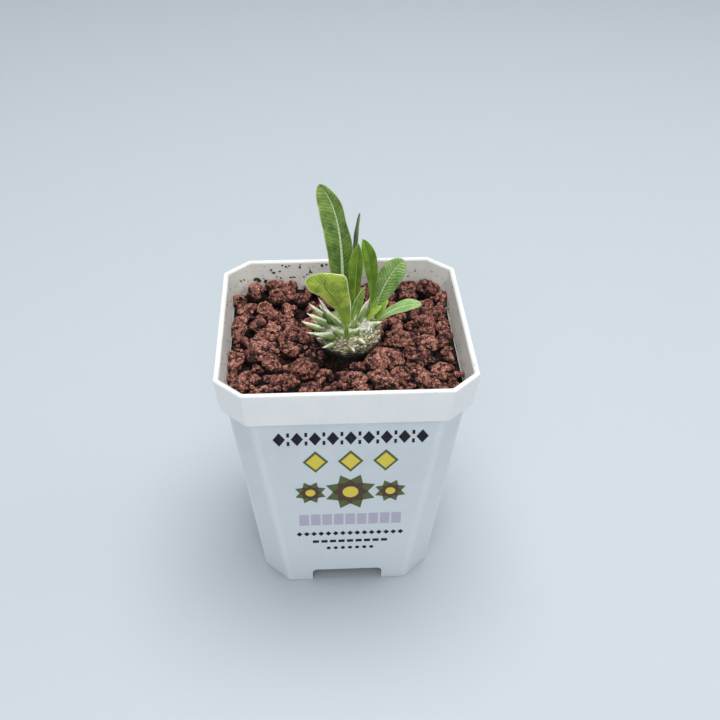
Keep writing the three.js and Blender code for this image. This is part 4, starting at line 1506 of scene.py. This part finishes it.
# Leaflets that are only just opening, beside the young right leaf
LEAFLETS = {
    "leaflet_right": {
        "path": [(6.4, 0.0, 76.8), (7.4, 0.1, 79), (9.0, 0.4, 80.6), (10.9, 0.8, 81.9)],
        "width": 2.0, "widest": 0.62, "fullness": 0.7, "stalk": 0.4,
        "face": (-0.5, -0.6, 0.6), "fold": 24,
        "light": (176, 206, 72), "dark": (124, 164, 42), "rib": (206, 222, 134),
        "rib_width": 0.25, "vein_gap": 0.8, "veins": 0.2, "wave": 0.05,
        "margin": (222, 230, 160),
    },
    "leaflet_middle": {
        "path": [(6.8, 1.4, 76.8), (7.5, 1.3, 79.4), (8.7, 1.5, 82), (10.2, 1.9, 84.2)],
        "width": 1.7, "widest": 0.55, "fullness": 0.8, "stalk": 0.4,
        "face": (-0.4, -0.8, 0.4), "fold": 26,
        "light": (160, 192, 70), "dark": (112, 150, 42), "rib": (196, 214, 128),
        "rib_width": 0.25, "vein_gap": 0.8, "veins": 0.2, "wave": 0.05,
        "margin": (214, 226, 158),
    },
}


def leaf_look(name, leaf):
    """A leaf's skin: a pale midrib, side veins that leave it at a slant, and a pale margin, which is
    partly a painted highlight along the rim.
    """
    look = Shader(name)
    along, reach, across = look.value("along"), look.value("reach"), look.value("across")
    upper = look.value("upper")
    length = look.value("length")
    from_rib = look.math("ABSOLUTE", reach)
    side = look.math("ABSOLUTE", across)
    broad = look.noise(3.5, detail=4, roughness=0.6)
    fine = look.noise(0.4, detail=3, roughness=0.6)
    light, dark = paint(*leaf["light"]), paint(*leaf["dark"])
    tone = look.mix(look.step(broad, 0.34, 0.66), dark, light)
    tone = look.over(tone, light, look.step(along, 0.6, 1.0), 0.4)
    # Darker toward the middle of the blade: painted shade along the fold.
    tone = look.over(tone, dark, look.step(side, 0.35, 0.0), 0.25)
    at_base = look.math("MULTIPLY", look.step(along, 0.5, 0.08), 0.6)
    tone = look.mix(at_base, tone, paint(*leaf.get("base", leaf["light"])))
    if leaf["shaded"]:
        half = look.step(look.math("MULTIPLY", reach, leaf["shaded"]), 0.0, 0.25)
        deep = look.mix(0.5, dark, paint(10, 40, 5))
        tone = look.over(tone, deep, half, 0.34)
    slant = look.math("MULTIPLY_ADD", from_rib, -0.75, length)
    wobble = look.math("MULTIPLY_ADD", look.noise(2.5, detail=2), leaf["vein_gap"] * 1.1, slant)
    phase = look.math("FRACT", look.math("DIVIDE", wobble, leaf["vein_gap"]))
    from_vein = look.math("ABSOLUTE", look.math("SUBTRACT", phase, 0.5))
    vein = look.step(from_vein, 0.15, 0.02)
    vein = look.math("MULTIPLY", vein, look.step(side, 0.98, 0.7))
    pale_vein = look.mix(0.5, light, paint(*leaf["margin"]))
    tone = look.mix(look.math("MULTIPLY", vein, leaf["veins"]), tone, pale_vein)
    net = look.step(look.cells(0.55, feature="DISTANCE_TO_EDGE"), 0.1, 0.02)
    tone = look.over(tone, light, net, 0.14)
    below = look.mix(0.12, tone, paint(178, 196, 120))
    above = look.mix(0.6, tone, paint(*leaf["upper"])) if "upper" in leaf else tone
    tone = look.mix(upper, below, above)
    taper = look.math("POWER", look.math("SUBTRACT", 1.0, along), 1.3)
    width = look.math("MULTIPLY_ADD", taper, leaf["rib_width"] / 2, 0.05)
    rib = look.step(look.math("DIVIDE", from_rib, width), 1.15, 0.75)
    rib = look.math("MULTIPLY", rib, look.step(along, 0.99, 0.9))
    rib_end = paint(*leaf.get("rib_end", leaf["rib"]))
    rib_tone = look.mix(look.step(along, 0.3, 0.7), paint(*leaf["rib"]), rib_end)
    tone = look.mix(rib, tone, rib_tone)
    # The pale margin: partly the margin's own colour and partly a painted highlight along the rim.
    edge = look.step(look.math("MULTIPLY_ADD", broad, 0.05, side), 0.945, 0.995)
    tone = look.over(tone, paint(*leaf["margin"]), edge, 0.85)
    speck = look.math("MULTIPLY", look.step(fine, 0.6, 0.75), 0.16)
    tone = look.mix(speck, tone, light)
    quilt = look.math("MULTIPLY", look.step(from_vein, 0.0, 0.4), look.step(side, 1.0, 0.7))
    relief = look.bump(fine, 0.03)
    relief = look.bump(quilt, 0.3 * leaf["veins"], relief)
    relief = look.bump(rib, 0.1, relief)
    look.set(Base_Color=tone, Normal=relief)
    look.set(Roughness=look.math("MULTIPLY_ADD", fine, 0.2, 0.34))
    look.set(Subsurface_Weight=0.25, Subsurface_Scale=0.0006, Specular_IOR_Level=0.36)
    look.set(Subsurface_Radius=(0.6, 1.0, 0.25))
    return look.material


def bezier(path, share):
    a, b, c, d = (np.array(point, float) for point in path)
    rest = 1 - share
    place = rest ** 3 * a + 3 * rest ** 2 * share * b + 3 * rest * share ** 2 * c + share ** 3 * d
    slope = rest ** 2 * (b - a) + 2 * rest * share * (c - b) + share ** 2 * (d - c)
    return place, slope / np.linalg.norm(slope)


def curve_run(path):
    """Even steps along the curve, as shares of it, and the curve's length up to each."""
    fine = np.linspace(0, 1, 400)
    places = np.array([bezier(path, t)[0] for t in fine])
    run = np.concatenate([[0], np.cumsum(np.linalg.norm(np.diff(places, axis=0), axis=1))])
    return fine, run


def half_width(leaf, share):
    stretch = math.log(0.5) / math.log(leaf["widest"])
    fullness = leaf["fullness"]
    if share < leaf["widest"]:
        fullness = leaf.get("foot_fullness", fullness)
    bell = max(0, math.sin(math.pi * share ** stretch)) ** fullness
    stalk = leaf["stalk"] * (1 - share) * (1 - bell)
    return max(LEAST_HALF_WIDTH, leaf["width"] / 2 * (bell + stalk))


def make_leaf(name, leaf, *nodes):
    leaf = {**LEAF_DEFAULTS, **leaf}
    fine, run = curve_run(leaf["path"])
    fold = math.radians(leaf["fold"])
    thickness = BLADE_THICKNESS / math.cos(fold)
    acrosses = np.sin(np.linspace(-math.pi / 2, math.pi / 2, LEAF_COLUMNS + 1))
    values = {"along": [], "across": [], "reach": [], "upper": [], "length": []}
    points = []
    for lower in (0, 1):
        for row in range(LEAF_ROWS + 1):
            share = 1 - (1 - row / LEAF_ROWS) ** 1.6
            place, ahead = bezier(leaf["path"], share)
            length = float(np.interp(share, fine, run))
            up = np.array(leaf["face"], float)
            up -= up @ ahead * ahead
            up /= np.linalg.norm(up)
            aside = np.cross(ahead, up)
            wide = half_width(leaf, share)
            off_middle = float(np.interp(share, *zip(*leaf["bend"])))
            for across in acrosses:
                reach = wide * (1 - leaf["skew"] * share * np.sign(across)) * across
                if across > 0:
                    curve = math.sin(0.5 * length - 2.95) * share * (1 - share) * 4
                    reach += leaf.get("edge_wave", 0) * across * curve
                lift = math.sqrt(reach * reach + 0.09) - 0.3
                ripple = leaf["wave"] * across * across * math.sin(length * 0.9 + 2 * across)
                from_rib = reach - off_middle
                rib = MIDRIB_DEPTH * (1 - share) * math.exp(-(from_rib / 0.45) ** 2)
                blade = MARGIN_THICKNESS + (thickness - MARGIN_THICKNESS) * (1 - across ** 4)
                depth = blade + rib if lower else 0.12 * math.exp(-(from_rib / 0.3) ** 2)
                edge = (thickness - MARGIN_THICKNESS) / 2 * across ** 4
                depth += 0 if lower else edge
                depth += edge if lower else 0
                points.append(
                    place + aside * reach * math.cos(fold)
                    + up * (lift * math.sin(fold) + ripple * min(1, wide / 2) - depth)
                )
                values["along"].append(share)
                values["across"].append(across)
                values["reach"].append(from_rib)
                values["upper"].append(1 - lower)
                values["length"].append(length)
    columns = LEAF_COLUMNS + 1
    sheet = (LEAF_ROWS + 1) * columns
    faces = []
    for row in range(LEAF_ROWS):
        for column in range(LEAF_COLUMNS):
            a = row * columns + column
            b, c, d = a + 1, a + columns, a + columns + 1
            faces.append((a, b, d, c))
            faces.append((a + sheet, c + sheet, d + sheet, b + sheet))
        for column, turned in ((0, False), (LEAF_COLUMNS, True)):
            a = row * columns + column
            strip = (a, a + columns, a + columns + sheet, a + sheet)
            faces.append(strip[::-1] if turned else strip)
    for column in range(LEAF_COLUMNS):
        tip = LEAF_ROWS * columns + column
        faces.append((column, column + sheet, column + 1 + sheet, column + 1))
        faces.append((tip, tip + 1, tip + 1 + sheet, tip + sheet))
    piece = make_piece(name + "_blade", points, faces, leaf_look(name, leaf), values)
    part_of_plant(piece, "leaf_blade", *nodes)


for leaf_name, leaf_shape in LEAVES.items():
    make_leaf(leaf_name, leaf_shape, leaf_name)
for leaflet_name, leaflet_shape in LEAFLETS.items():
    make_leaf(leaflet_name, leaflet_shape)
